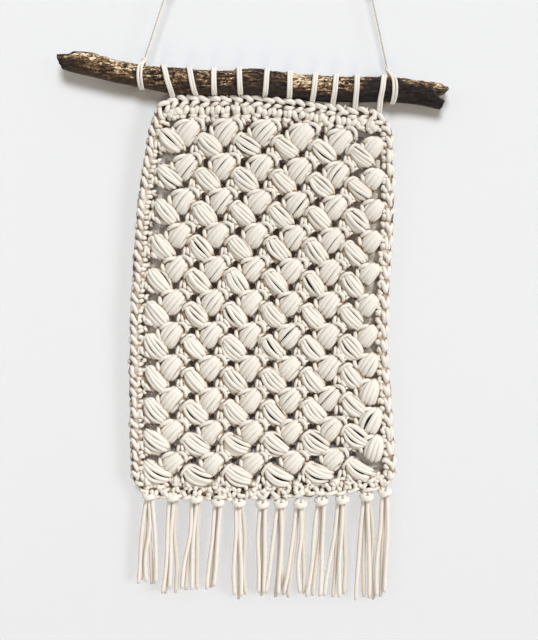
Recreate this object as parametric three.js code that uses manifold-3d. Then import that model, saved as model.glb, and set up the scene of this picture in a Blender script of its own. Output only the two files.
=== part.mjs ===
// A crochet wall hanging on a driftwood branch: a panel of slanting puff stitches in a
// crocheted border, laced to the branch, fringed along its lower edge and hung by two threads.
// Millimetres, +Z up, and the front faces -Y. The origin lies midway between the tops of the
// two thread loops, and the branch's axis runs near the plane y = 0.
import * as THREE from "three";
import { mergeVertices } from "three/addons/utils/BufferGeometryUtils.js";
import Module from "manifold-3d";

const wasm = await Module();
wasm.setup();

// Driving dimensions
const CLEARANCE = 0.3; // between pieces that lie against each other
const YARN = 4.4; // width of the tubular cotton yarn
const THREAD = 1.4; // width of the hanger thread
const COLUMNS = 6; // pairs of puffs across the panel
const ROWS = 11; // pairs of puff rows down the panel
const SHEET_FRONT = -1; // depth of the ground between the puffs
const SHEET_BACK = 5;
const PUFF_RISE = 7.5; // how far a puff stands out of the ground
const BORDER_RISE = 4.2; // how far a border stitch stands out
const ROW_PITCH = 34.9; // height of the first pair of rows
const ROW_EASE = 0.16; // and how much lower each next pair is
const EDGE_TOP = -0.67; // the panel's rim, counted in pairs of rows
const EDGE_BOTTOM = 11.45;
const BORDER_WIDTH = 9.6;
const BORDER_STITCHES = 122; // all round
const BORDER_INSET = 5.3; // from the rim to the middle of a border stitch
const BORDER_SPACING = 9; // the least from one border stitch or lacing hole to the next
const LACING_INSET = 6.5; // from the rim to the middle of a lacing hole
const CORNER = 14;

// How the hung panel leans and narrows: the stitch field and the two side edges, row by row
const LEVELS = [
  { row: 0, fieldLeft: -106.5, fieldRight: 121.5, edgeLeft: -119.5, edgeRight: 124.5 },
  { row: 2.2, fieldLeft: -111.5, fieldRight: 115.8, edgeLeft: -131.5, edgeRight: 124.5 },
  { row: 4.2, fieldLeft: -119.1, fieldRight: 111.9, edgeLeft: -136.5, edgeRight: 121.5 },
  { row: 6.2, fieldLeft: -123.9, fieldRight: 110.1, edgeLeft: -140, edgeRight: 118.8 },
  { row: 8.2, fieldLeft: -124.4, fieldRight: 111.7, edgeLeft: -140, edgeRight: 121.5 },
  { row: 11, fieldLeft: -123.5, fieldRight: 118.5, edgeLeft: -138.5, edgeRight: 127 },
];
// The heights of the first and last rows over each column: the rows sag between the sides
const STANDS = [
  { column: 0, first: -146, last: -507 },
  { column: 1, first: -146, last: -509 },
  { column: 2, first: -145.3, last: -509.5 },
  { column: 3, first: -147, last: -509 },
  { column: 4, first: -151.5, last: -507 },
  { column: 5, first: -156.5, last: -503 },
  { column: 6, first: -161.5, last: -498 },
];
// The two kinds of puff inside each cell of the field, and how they shrink beside the border
const PUFFS = [
  { column: 0.75, row: 0.25, length: 26, width: 15.5, slant: 50, edgeColumn: COLUMNS - 1, edgeShare: 0.85 },
  { column: 0.25, row: 0.68, length: 28, width: 16, slant: -37, edgeColumn: 0, edgeShare: 1 },
];
// The two kinds of gap between them
const GAPS = [
  { column: 0.2, row: 0.15, width: 5, height: 8.6, edgeColumn: 0 },
  { column: 0.68, row: 0.81, width: 5, height: 8.6, edgeColumn: COLUMNS - 1 },
];
const EDGE_GAP_GROWTH = 1.3; // the gaps beside the border are wider

// The branch's upper and lower outline along its length
const BRANCH = [
  { x: -212.5, top: -77.7, bottom: -90 },
  { x: -206.5, top: -77.4, bottom: -93.7 },
  { x: -196.5, top: -75.2, bottom: -96.2 },
  { x: -179.5, top: -76.3, bottom: -100.2 },
  { x: -154.5, top: -83.3, bottom: -106.3 },
  { x: -129.5, top: -88.2, bottom: -111 },
  { x: -102.5, top: -91, bottom: -115.5 },
  { x: -74.5, top: -93, bottom: -119 },
  { x: -44.5, top: -94, bottom: -120 },
  { x: -12.5, top: -92.2, bottom: -121.3 },
  { x: 7.5, top: -95.2, bottom: -122.4 },
  { x: 60.5, top: -100, bottom: -126 },
  { x: 124.5, top: -101.3, bottom: -126.4 },
  { x: 150.5, top: -104.5, bottom: -129.5 },
  { x: 168.5, top: -106.8, bottom: -132.6 },
  { x: 176.5, top: -110, bottom: -131 },
];
const BRANCH_SIDES = 14;
const BRANCH_STEPS = 26;
const BRANCH_RIPPLE = 0.03; // unevenness, as a share of the radius
const BRANCH_SLANT = 3.5; // how far the upper side reaches past the axis at both broken ends
const NOTCH = { depth: 10, height: 6, z: -121.5 }; // the split in the right end

// Each turn of the lacing: where it crosses the branch's top, and its hole in the panel
const TURNS = [
  { top: -106.5, hole: -96.8 },
  { top: -80.9, hole: -73.2 },
  { top: -55.5, hole: -54.8 },
  { top: -30.5, hole: -28.7 },
  { top: -1.9, hole: -4.5 },
  { top: 20.5, hole: 19.8 },
  { top: 46.5, hole: 42.7 },
  { top: 67, hole: 63.2 },
  { top: 87.5, hole: 85.5 },
  { top: 114.8, hole: 109.7 },
];
// The yarn ties round the branch, and the threads that rise from their knots
const TIES = [
  { side: "left", x: -127, peakX: 1.5, peakRise: 1.5, loopTop: -98 },
  { side: "right", x: 122.5, peakX: -4.4, peakRise: 5.3, loopTop: 98 },
];
// The tassels: the knot's place along the lower edge, and where the strands end
const TASSELS = [
  { x: -120, endX: -122.5, spread: 16, endZ: -605 },
  { x: -96.5, endX: -100.5, spread: 13, endZ: -614 },
  { x: -73.5, endX: -78.5, spread: 13, endZ: -614 },
  { x: -51.3, endX: -59, spread: 8, endZ: -612 },
  { x: -30.8, endX: -29, spread: 12, endZ: -621 },
  { x: -7.1, endX: -9, spread: 8, endZ: -617 },
  { x: 11.1, endX: 7.5, spread: 12, endZ: -619 },
  { x: 30.5, endX: 25.5, spread: 15, endZ: -619 },
  { x: 51.7, endX: 44, spread: 13, endZ: -619 },
  { x: 72.5, endX: 65.5, spread: 18, endZ: -621 },
  { x: 97, endX: 94.5, spread: 15, endZ: -622 },
  { x: 115.3, endX: 112, spread: 9, endZ: -617 },
];
const TASSEL_STRANDS = 4;
const TASSEL_HEAD = { width: 12, height: 8, depth: 8 };

const yarn = new THREE.MeshStandardMaterial({ color: 0xe9e1d6, roughness: 0.95, metalness: 0 });
const driftwood = new THREE.MeshStandardMaterial({ color: 0x4a392d, roughness: 0.9, metalness: 0 });
const thread = new THREE.MeshStandardMaterial({ color: 0xd0c6b4, roughness: 0.9, metalness: 0 });

const { lerp, clamp, degToRad } = THREE.MathUtils;
const hanging = new THREE.Group();

function addPiece(name, geometry, material) {
  const mesh = new THREE.Mesh(geometry, material);
  mesh.name = name;
  hanging.add(mesh);
}

// A smooth curve through the named columns of a table, read at a place along its first column
function smoothTable(table, key) {
  const names = Object.keys(table[0]).filter((name) => name !== key);
  const places = table.map((entry) => entry[key]);
  const values = table.flatMap((entry) => names.map((name) => entry[name]));
  const curve = new THREE.CubicInterpolant(places, values, names.length);
  return (place) => {
    const found = curve.evaluate(place);
    return Object.fromEntries(names.map((name, i) => [name, found[i]]));
  };
}

// A small unevenness between -1 and 1 that is the same each time
function uneven(seed) {
  return Math.sin(seed * 12.9898 + Math.sin(seed * 4.1414) * 3.7);
}

// A solid for joining and cutting, and the geometry that it gives back
function solidOf(geometry) {
  const bare = new THREE.BufferGeometry();
  bare.setAttribute("position", geometry.getAttribute("position").clone());
  bare.setIndex(geometry.index);
  const merged = mergeVertices(bare, 1e-3);
  const vertProperties = new Float32Array(merged.getAttribute("position").array);
  const triVerts = new Uint32Array(merged.index.array);
  return new wasm.Manifold(new wasm.Mesh({ numProp: 3, vertProperties, triVerts }));
}

function geometryOf(solid) {
  const mesh = solid.getMesh();
  const geometry = new THREE.BufferGeometry();
  geometry.setAttribute("position", new THREE.BufferAttribute(mesh.vertProperties, 3));
  geometry.setIndex(new THREE.BufferAttribute(mesh.triVerts, 1));
  geometry.computeVertexNormals();
  return geometry;
}

function joined(...geometries) {
  const solids = geometries.map(solidOf);
  return geometryOf(solids.reduce((whole, solid) => whole.add(solid)));
}

// A tube of a few sides that steps from one point of its route to the next
function tubeAlong(points, radius, sides) {
  const route = new THREE.CatmullRomCurve3(points, false, "centripetal");
  route.getPointAt = route.getPoint;
  route.getTangentAt = route.getTangent;
  const section = new THREE.Shape();
  for (let i = 0; i < sides; i += 1) {
    const angle = ((i + 0.5) / sides) * 2 * Math.PI;
    const x = radius * Math.cos(angle);
    const y = radius * Math.sin(angle);
    if (i === 0) section.moveTo(x, y);
    else section.lineTo(x, y);
  }
  return new THREE.ExtrudeGeometry(section, {
    steps: points.length - 1,
    bevelEnabled: false,
    extrudePath: route,
  });
}

// The panel's lattice: points of the stitch field and of the rim, seen from the front
const levelAt = smoothTable(LEVELS, "row");
const standAt = smoothTable(STANDS, "column");

function fallAt(row) {
  return (row * (ROW_PITCH - ROW_EASE * row)) / (ROWS * (ROW_PITCH - ROW_EASE * ROWS));
}

function heightAt(column, row) {
  const stand = standAt(column);
  return lerp(stand.first, stand.last, fallAt(row));
}

function fieldPoint(column, row) {
  const { fieldLeft, fieldRight } = levelAt(row);
  return new THREE.Vector2(lerp(fieldLeft, fieldRight, column / COLUMNS), heightAt(column, row));
}

function rimPoint(across, row) {
  const { edgeLeft, edgeRight } = levelAt(row);
  return new THREE.Vector2(lerp(edgeLeft, edgeRight, across), heightAt(across * COLUMNS, row));
}

// How far across the panel a given x lies at a row
function acrossAt(x, row) {
  const { edgeLeft, edgeRight } = levelAt(row);
  return (x - edgeLeft) / (edgeRight - edgeLeft);
}

// The rim: a rounded oblong, anticlockwise from the front, carried over to the hung shape
function rimOutline() {
  const width = LEVELS[2].edgeRight - LEVELS[2].edgeLeft;
  const height = rimPoint(0.5, EDGE_TOP).y - rimPoint(0.5, EDGE_BOTTOM).y;
  const flat = new THREE.Shape();
  flat.absarc(width - CORNER, height - CORNER, CORNER, 0, Math.PI / 2);
  flat.absarc(CORNER, height - CORNER, CORNER, Math.PI / 2, Math.PI);
  flat.absarc(CORNER, CORNER, CORNER, Math.PI, 1.5 * Math.PI);
  flat.absarc(width - CORNER, CORNER, CORNER, 1.5 * Math.PI, 2 * Math.PI);
  flat.closePath();
  const stations = flat.getSpacedPoints(BORDER_STITCHES).slice(0, BORDER_STITCHES);
  return stations.map((p) => rimPoint(p.x / width, lerp(EDGE_BOTTOM, EDGE_TOP, p.y / height)));
}

// An eight-sided puff: a foot on the ground and a smaller crown, highest along its middle
function puffBump(centre, puff, size, seed) {
  const turn = degToRad(puff.slant + 4 * uneven(seed));
  const foot = [];
  const crown = [];
  const sides = 8;
  for (let i = 0; i < sides; i += 1) {
    const angle = ((i + 0.5) / sides) * 2 * Math.PI;
    const along = Math.cos(angle) * (puff.length / 2) * size;
    const aside = Math.sin(angle) * (puff.width / 2) * size;
    const place = (share) =>
      new THREE.Vector2(along * share, aside * share).rotateAround(new THREE.Vector2(), turn).add(centre);
    const rise = PUFF_RISE * (1.02 - 0.22 * Math.cos(angle) ** 2) * (1 + 0.06 * uneven(seed + 7));
    foot.push(place(1));
    crown.push({ at: place(0.6), rise });
  }
  return { foot, crown };
}

// Keeps a puff of the outer columns clear of the border
function clearOfBorder(centre, puff, size, row) {
  const turn = degToRad(puff.slant);
  const reach = Math.hypot(puff.length * Math.cos(turn), puff.width * Math.sin(turn)) * (size / 2);
  const { edgeLeft, edgeRight } = levelAt(row);
  const inner = BORDER_WIDTH + reach;
  return new THREE.Vector2(clamp(centre.x, edgeLeft + inner, edgeRight - inner), centre.y);
}

// A four-sided border stitch with a short crest that leans along the rim
function stitchBump(centre, along, length, width, seed) {
  const inward = new THREE.Vector2(-along.y, along.x);
  const place = (a, b) => centre.clone().addScaledVector(along, a).addScaledVector(inward, b);
  const half = length / 2;
  const side = width / 2;
  const foot = [place(-half, -side), place(half, -side), place(half, side), place(-half, side)];
  const rise = BORDER_RISE * (1 + 0.12 * uneven(seed));
  const crown = [
    { at: place(-0.45 * half, -0.5 * side), rise },
    { at: place(0.45 * half, -0.2 * side), rise },
    { at: place(0.45 * half, 0.5 * side), rise },
    { at: place(-0.45 * half, 0.2 * side), rise },
  ];
  return { foot, crown };
}

// A narrow four-sided gap that leans a little, as the yarns beside it pull it
function gapOutline(centre, width, height) {
  const corners = [
    { x: -0.5, z: -0.38 },
    { x: 0.24, z: -0.5 },
    { x: 0.5, z: 0.38 },
    { x: -0.24, z: 0.5 },
  ];
  return corners.map(({ x, z }) => new THREE.Vector2(centre.x + x * width, centre.y + z * height));
}

// A sheet with a flat back, holes through it, and bumps that rise from its front ground
function reliefSheet(outline, bumps, holes) {
  const positions = [];
  const triangles = [];
  const addPoint = (at, depth) => positions.push(at.x, depth, at.y) / 3 - 1;
  const addRing = (ring, depth) => ring.map((at) => addPoint(at, depth));
  const band = (outer, inner) => {
    outer.forEach((a, i) => {
      const next = (i + 1) % outer.length;
      triangles.push(a, outer[next], inner[next], a, inner[next], inner[i]);
    });
  };

  const feet = bumps.map((bump) => bump.foot);
  const front = [outline, ...feet, ...holes].map((ring) => addRing(ring, SHEET_FRONT));
  const frontPoints = front.flat();
  for (const [a, b, c] of THREE.ShapeUtils.triangulateShape(outline, [...feet, ...holes])) {
    triangles.push(frontPoints[a], frontPoints[b], frontPoints[c]);
  }
  bumps.forEach((bump, i) => {
    const crown = bump.crown.map(({ at, rise }) => addPoint(at, SHEET_FRONT - rise));
    band(front[i + 1], crown);
    for (let k = 1; k < crown.length - 1; k += 1) triangles.push(crown[0], crown[k], crown[k + 1]);
  });

  const back = [outline, ...holes].map((ring) => addRing(ring, SHEET_BACK));
  const backPoints = back.flat();
  for (const [a, b, c] of THREE.ShapeUtils.triangulateShape(outline, holes)) {
    triangles.push(backPoints[a], backPoints[c], backPoints[b]);
  }
  band(back[0], front[0]);
  holes.forEach((hole, i) => band(front[1 + feet.length + i], back[1 + i]));

  const geometry = new THREE.BufferGeometry();
  geometry.setAttribute("position", new THREE.Float32BufferAttribute(positions, 3));
  geometry.setIndex(triangles);
  geometry.computeVertexNormals();
  return geometry;
}

// The lacing holes, a little under the rim
const lacingHoles = TURNS.map(({ hole }) => {
  const rim = rimPoint(acrossAt(hole, EDGE_TOP), EDGE_TOP);
  return new THREE.Vector2(hole, rim.y - LACING_INSET);
});

function buildPanel() {
  const outline = rimOutline();
  const bumps = [];
  const holes = lacingHoles.map((centre) => gapOutline(centre, 7, 7));

  const placed = [...lacingHoles];
  outline.forEach((point, i) => {
    const next = outline[(i + 1) % outline.length];
    const along = next.clone().sub(point).normalize();
    const inward = new THREE.Vector2(-along.y, along.x);
    const centre = point.clone().add(next).multiplyScalar(0.5).addScaledVector(inward, BORDER_INSET);
    if (placed.some((other) => other.distanceTo(centre) < BORDER_SPACING)) return;
    placed.push(centre);
    bumps.push(stitchBump(centre, along, 8.4, 7.6, i));
  });
  const topStitches = 19;
  for (let i = 0; i < topStitches; i += 1) {
    const column = lerp(0.15, 5.6, i / (topStitches - 1));
    const here = fieldPoint(column, -0.22);
    const along = fieldPoint(column + 0.1, -0.22).sub(here).normalize();
    bumps.push(stitchBump(here, along, 9, 6.6, i + BORDER_STITCHES));
  }

  for (let row = 0; row < ROWS; row += 1) {
    for (let column = 0; column < COLUMNS; column += 1) {
      PUFFS.forEach((puff, kind) => {
        const size = column === puff.edgeColumn ? puff.edgeShare : 1;
        const centre = fieldPoint(column + puff.column, row + puff.row);
        const seed = row * 31 + column * 7 + kind;
        bumps.push(puffBump(clearOfBorder(centre, puff, size, row + puff.row), puff, size, seed));
      });
      GAPS.forEach((gap) => {
        const growth = column === gap.edgeColumn ? EDGE_GAP_GROWTH : 1;
        const centre = fieldPoint(column + gap.column, row + gap.row);
        holes.push(gapOutline(centre, gap.width * growth, gap.height));
      });
    }
  }
  addPiece("panel", reliefSheet(outline, bumps, holes), yarn);
}

// The branch: round sections between its upper and lower outlines, rippled like weathered wood
const branchOutlineAt = smoothTable(BRANCH, "x");

function branchAt(x) {
  const { top, bottom } = branchOutlineAt(x);
  return { z: (top + bottom) / 2, radius: (top - bottom) / 2 };
}

function buildBranch() {
  const left = BRANCH[0].x;
  const right = BRANCH[BRANCH.length - 1].x;
  const geometry = new THREE.CylinderGeometry(1, 1, 1, BRANCH_SIDES, BRANCH_STEPS);
  geometry.rotateZ(-Math.PI / 2);
  const points = geometry.getAttribute("position");
  for (let i = 0; i < points.count; i += 1) {
    const share = points.getX(i) + 0.5;
    const x = lerp(left, right, share);
    const { z, radius } = branchAt(x);
    const angle = Math.atan2(points.getZ(i), points.getY(i));
    const wave = Math.sin(3 * angle + x * 0.05) + 0.7 * Math.sin(5 * angle - x * 0.083);
    const reach = radius * Math.hypot(points.getY(i), points.getZ(i)) * (1 + 0.6 * BRANCH_RIPPLE * wave);
    const slant = BRANCH_SLANT * Math.cos(angle) * (reach / radius);
    const nearEnd = Math.max(0, 1 - share / 0.08) * -1 + Math.max(0, 1 - (1 - share) / 0.08);
    points.setXYZ(i, x + slant * nearEnd, -reach * Math.sin(angle), z + reach * Math.cos(angle));
  }
  const wedge = new THREE.Shape();
  wedge.moveTo(right - NOTCH.depth, 0);
  wedge.lineTo(right + NOTCH.depth, -NOTCH.height);
  wedge.lineTo(right + NOTCH.depth, NOTCH.height);
  wedge.closePath();
  const reachThrough = 60;
  const notch = new THREE.ExtrudeGeometry(wedge, { depth: reachThrough, bevelEnabled: false });
  notch.rotateX(Math.PI / 2);
  notch.translate(0, reachThrough / 2, NOTCH.z);
  addPiece("branch", geometryOf(solidOf(geometry).subtract(solidOf(notch))), driftwood);
}

// A point beside the branch, at an angle from its top towards the front, set out far enough for
// the straight steps between such points to clear the bark
const WINDING_STEP = 33;
function besideBranch(x, degrees, distance) {
  const { z, radius } = branchAt(x);
  const angle = degToRad(degrees);
  const clear = radius * (1 + BRANCH_RIPPLE) + CLEARANCE + distance;
  const reach = clear / Math.cos(degToRad(WINDING_STEP / 2));
  return new THREE.Vector3(x, -reach * Math.sin(angle), z + reach * Math.cos(angle));
}

// The lacing: one yarn that winds round the branch and dives through the panel at each turn
function buildLacing() {
  const radius = YARN / 2;
  const dive = [
    { y: -3.9, z: 5.6 },
    { y: -3.8, z: 3.2 },
    { y: -2.6, z: 1.1 },
    { y: 0, z: 0 },
    { y: 4, z: 0 },
    { y: 6.6, z: 1.1 },
    { y: 7.8, z: 3.2 },
    { y: 7.9, z: 5.6 },
  ];
  const overFront = [
    { angle: 0, share: 0 },
    { angle: 33, share: 0.15 },
    { angle: 66, share: 0.35 },
    { angle: 99, share: 0.55 },
    { angle: 130, share: 0.8 },
  ];
  const upBack = [
    { angle: 230, share: 0.25 },
    { angle: 261, share: 0.45 },
    { angle: 294, share: 0.65 },
    { angle: 327, share: 0.85 },
  ];
  const climb = (from, to) =>
    upBack.map(({ angle, share }) => besideBranch(lerp(from, to, share), angle, radius));

  const start = TURNS[0].top - 9;
  const points = climb(start, TURNS[0].top);
  TURNS.forEach(({ top, hole }, i) => {
    points.push(...overFront.map(({ angle, share }) => besideBranch(lerp(top, hole, share), angle, radius)));
    points.push(...dive.map(({ y, z }) => new THREE.Vector3(hole, y, lacingHoles[i].y + z)));
    if (i + 1 < TURNS.length) points.push(...climb(hole, TURNS[i + 1].top));
  });
  addPiece("lacing", tubeAlong(points, radius, 6), yarn);
}

// A tie round the branch with its knot on top, the thread that rises from it, and the thread's loop
function buildTie({ side, x, peakX, peakRise, loopTop }) {
  const tube = YARN / 2 - 0.2;
  const { z, radius } = branchAt(x);
  const ringRadius = radius * (1 + BRANCH_RIPPLE) + CLEARANCE + tube;
  const ring = new THREE.TorusGeometry(ringRadius, tube, 6, 22);
  ring.rotateY(Math.PI / 2);
  const points = ring.getAttribute("position");
  for (let i = 0; i < points.count; i += 1) {
    const angle = Math.atan2(points.getY(i), points.getZ(i));
    const pull = Math.max(0, Math.cos(angle)) ** 8;
    points.setX(i, points.getX(i) + peakX * pull);
    points.setZ(i, points.getZ(i) + peakRise * pull);
  }
  ring.translate(x, 0, z);

  const knotRadius = 2.9;
  const knotCentre = new THREE.Vector3(x + peakX, 0, z + ringRadius + peakRise);
  const knot = new THREE.SphereGeometry(knotRadius, 8, 5).rotateX(Math.PI / 2);
  knot.translate(...knotCentre);
  addPiece(`tie_${side}`, joined(ring, knot), yarn);

  const loopLength = 11;
  const loopKnotRadius = 1.6;
  const top = new THREE.Vector3(loopTop, 0, 0);
  const rise = top.clone().sub(knotCentre).normalize();
  const loopKnotDrop = loopLength + 0.4 * loopKnotRadius;
  const from = knotCentre.clone().addScaledVector(rise, knotRadius + CLEARANCE);
  const to = top.clone().addScaledVector(rise, -loopKnotDrop - loopKnotRadius - CLEARANCE);
  const threadSteps = 10;
  const route = Array.from({ length: threadSteps + 1 }, (_, i) => from.clone().lerp(to, i / threadSteps));
  addPiece(`thread_${side}`, tubeAlong(route, THREAD / 2, 8), thread);

  const loop = new THREE.TorusGeometry(loopLength / 2 - THREAD / 2, THREAD / 2, 6, 16);
  loop.scale(0.62, 1, 1);
  loop.rotateX(Math.PI / 2);
  loop.translate(0, 0, -loopLength / 2);
  const loopKnot = new THREE.SphereGeometry(loopKnotRadius, 6, 4).rotateX(Math.PI / 2);
  loopKnot.translate(0, 0, -loopKnotDrop);
  const lean = new THREE.Quaternion().setFromUnitVectors(new THREE.Vector3(0, 0, 1), rise);
  const hanger = joined(loop, loopKnot).applyQuaternion(lean).translate(loopTop, 0, 0);
  addPiece(`thread_loop_${side}`, hanger, thread);
}

// A tassel: the knotted head under the rim, and strands that fan out from it
function buildTassel({ x, endX, spread, endZ }, index) {
  const middle = (SHEET_FRONT + SHEET_BACK) / 2 - 2;
  const rim = rimPoint(acrossAt(x, EDGE_BOTTOM), EDGE_BOTTOM);
  const headZ = rim.y - TASSEL_HEAD.height / 2 - 2 * CLEARANCE;
  const head = new THREE.SphereGeometry(0.5, 8, 4).rotateX(Math.PI / 2);
  head.scale(TASSEL_HEAD.width, TASSEL_HEAD.depth, TASSEL_HEAD.height);
  head.translate(x, middle, headZ);
  const strands = Array.from({ length: TASSEL_STRANDS }, (_, i) => {
    const share = i / (TASSEL_STRANDS - 1) - 0.5;
    const depth = middle + (i % 2 === 0 ? -2.2 : 2.2);
    const end = endZ + 3 * uneven(index * 5 + i);
    const rootX = x + share * 6.6;
    const footX = endX + share * spread;
    const bow = 1.2 * uneven(index * 3 + i + 0.5);
    const points = [
      new THREE.Vector3(rootX, depth, headZ),
      new THREE.Vector3(lerp(rootX, footX, 0.5) + bow, depth, lerp(headZ, end, 0.5)),
      new THREE.Vector3(footX, depth, end),
    ];
    return tubeAlong(points, YARN * 0.55, 4);
  });
  const name = `tassel_${String(index + 1).padStart(2, "0")}`;
  addPiece(name, joined(head, ...strands), yarn);
}

buildBranch();
buildPanel();
buildLacing();
TIES.forEach(buildTie);
TASSELS.forEach(buildTassel);

export default hanging;
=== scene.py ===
"""A crochet wall hanging on a driftwood branch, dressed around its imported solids.

Lengths in the tables are millimetres and every object is in metres. +Z is up and the front
faces -Y. Depths in the stitch tables are counted towards the front from the plane y = 0.
"""

import math

import bpy
import numpy as np
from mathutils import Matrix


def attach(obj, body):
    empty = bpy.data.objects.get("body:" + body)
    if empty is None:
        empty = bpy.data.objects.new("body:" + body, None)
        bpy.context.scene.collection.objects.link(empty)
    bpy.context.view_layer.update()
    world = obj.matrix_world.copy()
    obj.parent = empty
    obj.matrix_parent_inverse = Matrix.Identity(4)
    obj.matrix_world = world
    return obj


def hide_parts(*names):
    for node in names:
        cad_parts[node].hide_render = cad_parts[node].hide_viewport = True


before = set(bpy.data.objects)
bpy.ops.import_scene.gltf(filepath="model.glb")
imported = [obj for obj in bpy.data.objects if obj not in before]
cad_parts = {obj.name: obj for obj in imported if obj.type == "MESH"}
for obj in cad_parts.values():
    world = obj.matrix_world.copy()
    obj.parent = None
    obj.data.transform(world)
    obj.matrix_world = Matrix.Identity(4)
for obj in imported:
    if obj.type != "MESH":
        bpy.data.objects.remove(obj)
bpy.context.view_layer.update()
MM = 0.001

# The camera: level and square to the hanging, with the whole of it in an upright frame from
# just under the loops of the threads to a little below the fringe.
VIEW_CENTRE = (-0.5, -344.0)
VIEW_HEIGHT = 640.0
LENS = 85.0
SENSOR = 36.0

camera_data = bpy.data.cameras.new("camera")
camera_data.lens = LENS
camera_data.sensor_fit = "VERTICAL"
camera_data.sensor_height = SENSOR
camera = bpy.data.objects.new("camera", camera_data)
camera_distance = VIEW_HEIGHT * LENS / SENSOR
camera.location = (VIEW_CENTRE[0] * MM, -camera_distance * MM, VIEW_CENTRE[1] * MM)
camera.rotation_euler = (math.pi / 2, 0, 0)
bpy.context.scene.collection.objects.link(camera)
bpy.context.scene.camera = camera
bpy.context.scene.view_settings.view_transform = "Standard"

# The hanger threads: two lengths of thin twisted cotton thread, tied to the yarn ties below and
# drawn taut by the weight. Each ends above in a small whipped loop, just out of the view.
THREAD = 1.4
THREAD_TWIST = 1.6  # length of one turn of the ply
THREAD_SLANT = 30.0  # of the ply's ridges, in degrees
THREAD_POINTS = 17
KNOT_RADIUS = 2.9
CLEARANCE = 0.3
LOOP = {"length": 11.0, "share": 0.62, "knot": 1.6, "knot_seat": 0.4, "steps": 41}
WHIPPING = {"thread": 1.1, "radius": 0.8, "turns": 3, "low": -1.0, "high": 1.2, "steps": 61}
HANGERS = {
    "left": {"knot": (-125.5, 0.0, -84.4), "top": (-98.0, 0.0, 0.0)},
    "right": {"knot": (118.1, 0.0, -93.3), "top": (98.0, 0.0, 0.0)},
}
FRONT = np.array((0.0, -1.0, 0.0))
ACROSS = np.array((1.0, 0.0, 0.0))
STRAND_SHIFT = 7.3  # moves the pattern on from each strand of a piece to the next


def linear(code):
    """The linear colour of an sRGB hex value."""
    channels = [int(code[i : i + 2], 16) / 255 for i in (1, 3, 5)]
    curved = [c / 12.92 if c <= 0.04045 else ((c + 0.055) / 1.055) ** 2.4 for c in channels]
    return (*curved, 1.0)


def add_node(tree, kind, inputs=None, **settings):
    """Adds a node to a tree, with its settings, and sets or links its inputs."""
    made = tree.nodes.new("ShaderNode" + kind)
    for name, value in settings.items():
        setattr(made, name, value)
    for socket, value in (inputs or {}).items():
        if isinstance(value, bpy.types.NodeSocket):
            tree.links.new(value, made.inputs[socket])
        else:
            made.inputs[socket].default_value = value
    return made


def new_material(name):
    """An empty material and its node tree."""
    made = bpy.data.materials.new(name)
    made.use_nodes = True
    made.node_tree.nodes.clear()
    return made, made.node_tree


def unit(vectors):
    """The vectors at length one."""
    return vectors / np.maximum(np.linalg.norm(vectors, axis=-1, keepdims=True), 1e-9)


def smooth_curve(places, values, at):
    """A smooth curve through values at their places, read at other places."""
    places = np.asarray(places, float)
    values = np.asarray(values, float)
    at = np.clip(np.asarray(at, float), places[0], places[-1])
    slopes = np.gradient(values, places, axis=0)
    i = np.clip(np.searchsorted(places, at) - 1, 0, len(places) - 2)
    span = places[i + 1] - places[i]
    t = (at - places[i]) / span
    if values.ndim > 1:
        span = span[:, None]
        t = t[:, None]
    start = values[i] * (1 + 2 * t) * (1 - t) ** 2 + slopes[i] * span * t * (1 - t) ** 2
    end = values[i + 1] * t**2 * (3 - 2 * t) - slopes[i + 1] * span * t**2 * (1 - t)
    return start + end


def bend(points, count):
    """A smooth route of count points through a few."""
    points = np.asarray(points, float)
    return smooth_curve(np.arange(len(points)), points, np.linspace(0, len(points) - 1, count))


def run_of(points):
    """How far along its route each point lies."""
    steps = np.linalg.norm(np.diff(points, axis=-2), axis=-1)
    start = np.zeros((*steps.shape[:-1], 1))
    return np.concatenate((start, np.cumsum(steps, axis=-1)), axis=-1)


def wind(paths, width, thickness, lead, sides=8, blunt=0.4):
    """Yarns swept along routes of shape (strands, steps, 3). The width lies along lead."""
    paths = np.asarray(paths, float)
    strands, steps, _ = paths.shape
    width = np.broadcast_to(np.asarray(width, float), (strands, steps)).copy()
    thickness = np.broadcast_to(np.asarray(thickness, float), (strands, steps)).copy()
    for end in (0, -1):
        width[:, end] *= blunt
        thickness[:, end] *= blunt
    heading = unit(np.gradient(paths, axis=1))
    lead = np.broadcast_to(lead, paths.shape)
    aside = unit(lead - (lead * heading).sum(-1, keepdims=True) * heading)
    outward = np.cross(heading, aside)
    turn = 2 * np.pi * np.arange(sides) / sides
    across = (width / 2)[..., None, None] * np.cos(turn)[:, None] * aside[:, :, None]
    rise = (thickness / 2)[..., None, None] * np.sin(turn)[:, None] * outward[:, :, None]
    vertices = paths[:, :, None] + across + rise

    index = np.arange(strands * steps * sides).reshape(strands, steps, sides)
    around = np.roll(index, -1, axis=2)
    quads = np.stack((index[:, :-1], around[:, :-1], around[:, 1:], index[:, 1:]), axis=-1)
    caps = np.concatenate((index[:, 0, ::-1], index[:, -1]), axis=0)

    along = run_of(paths) + STRAND_SHIFT * np.arange(strands)[:, None]
    girth = np.arange(sides + 1) / sides * np.pi * width.max()
    low, high = along[:, :-1, None], along[:, 1:, None]
    left, right = girth[:-1], girth[1:]
    corners = ((low, left), (low, right), (high, right), (high, left))
    quad_marks = np.stack([np.stack(np.broadcast_arrays(*each), -1) for each in corners], axis=-2)
    ends = np.concatenate((along[:, 0], along[:, -1]))[:, None]
    cap_marks = np.stack(np.broadcast_arrays(ends, left), axis=-1)
    return (
        vertices.reshape(-1, 3),
        quads.reshape(-1, 4),
        caps,
        quad_marks.reshape(-1, 4, 2),
        cap_marks,
    )


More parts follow.
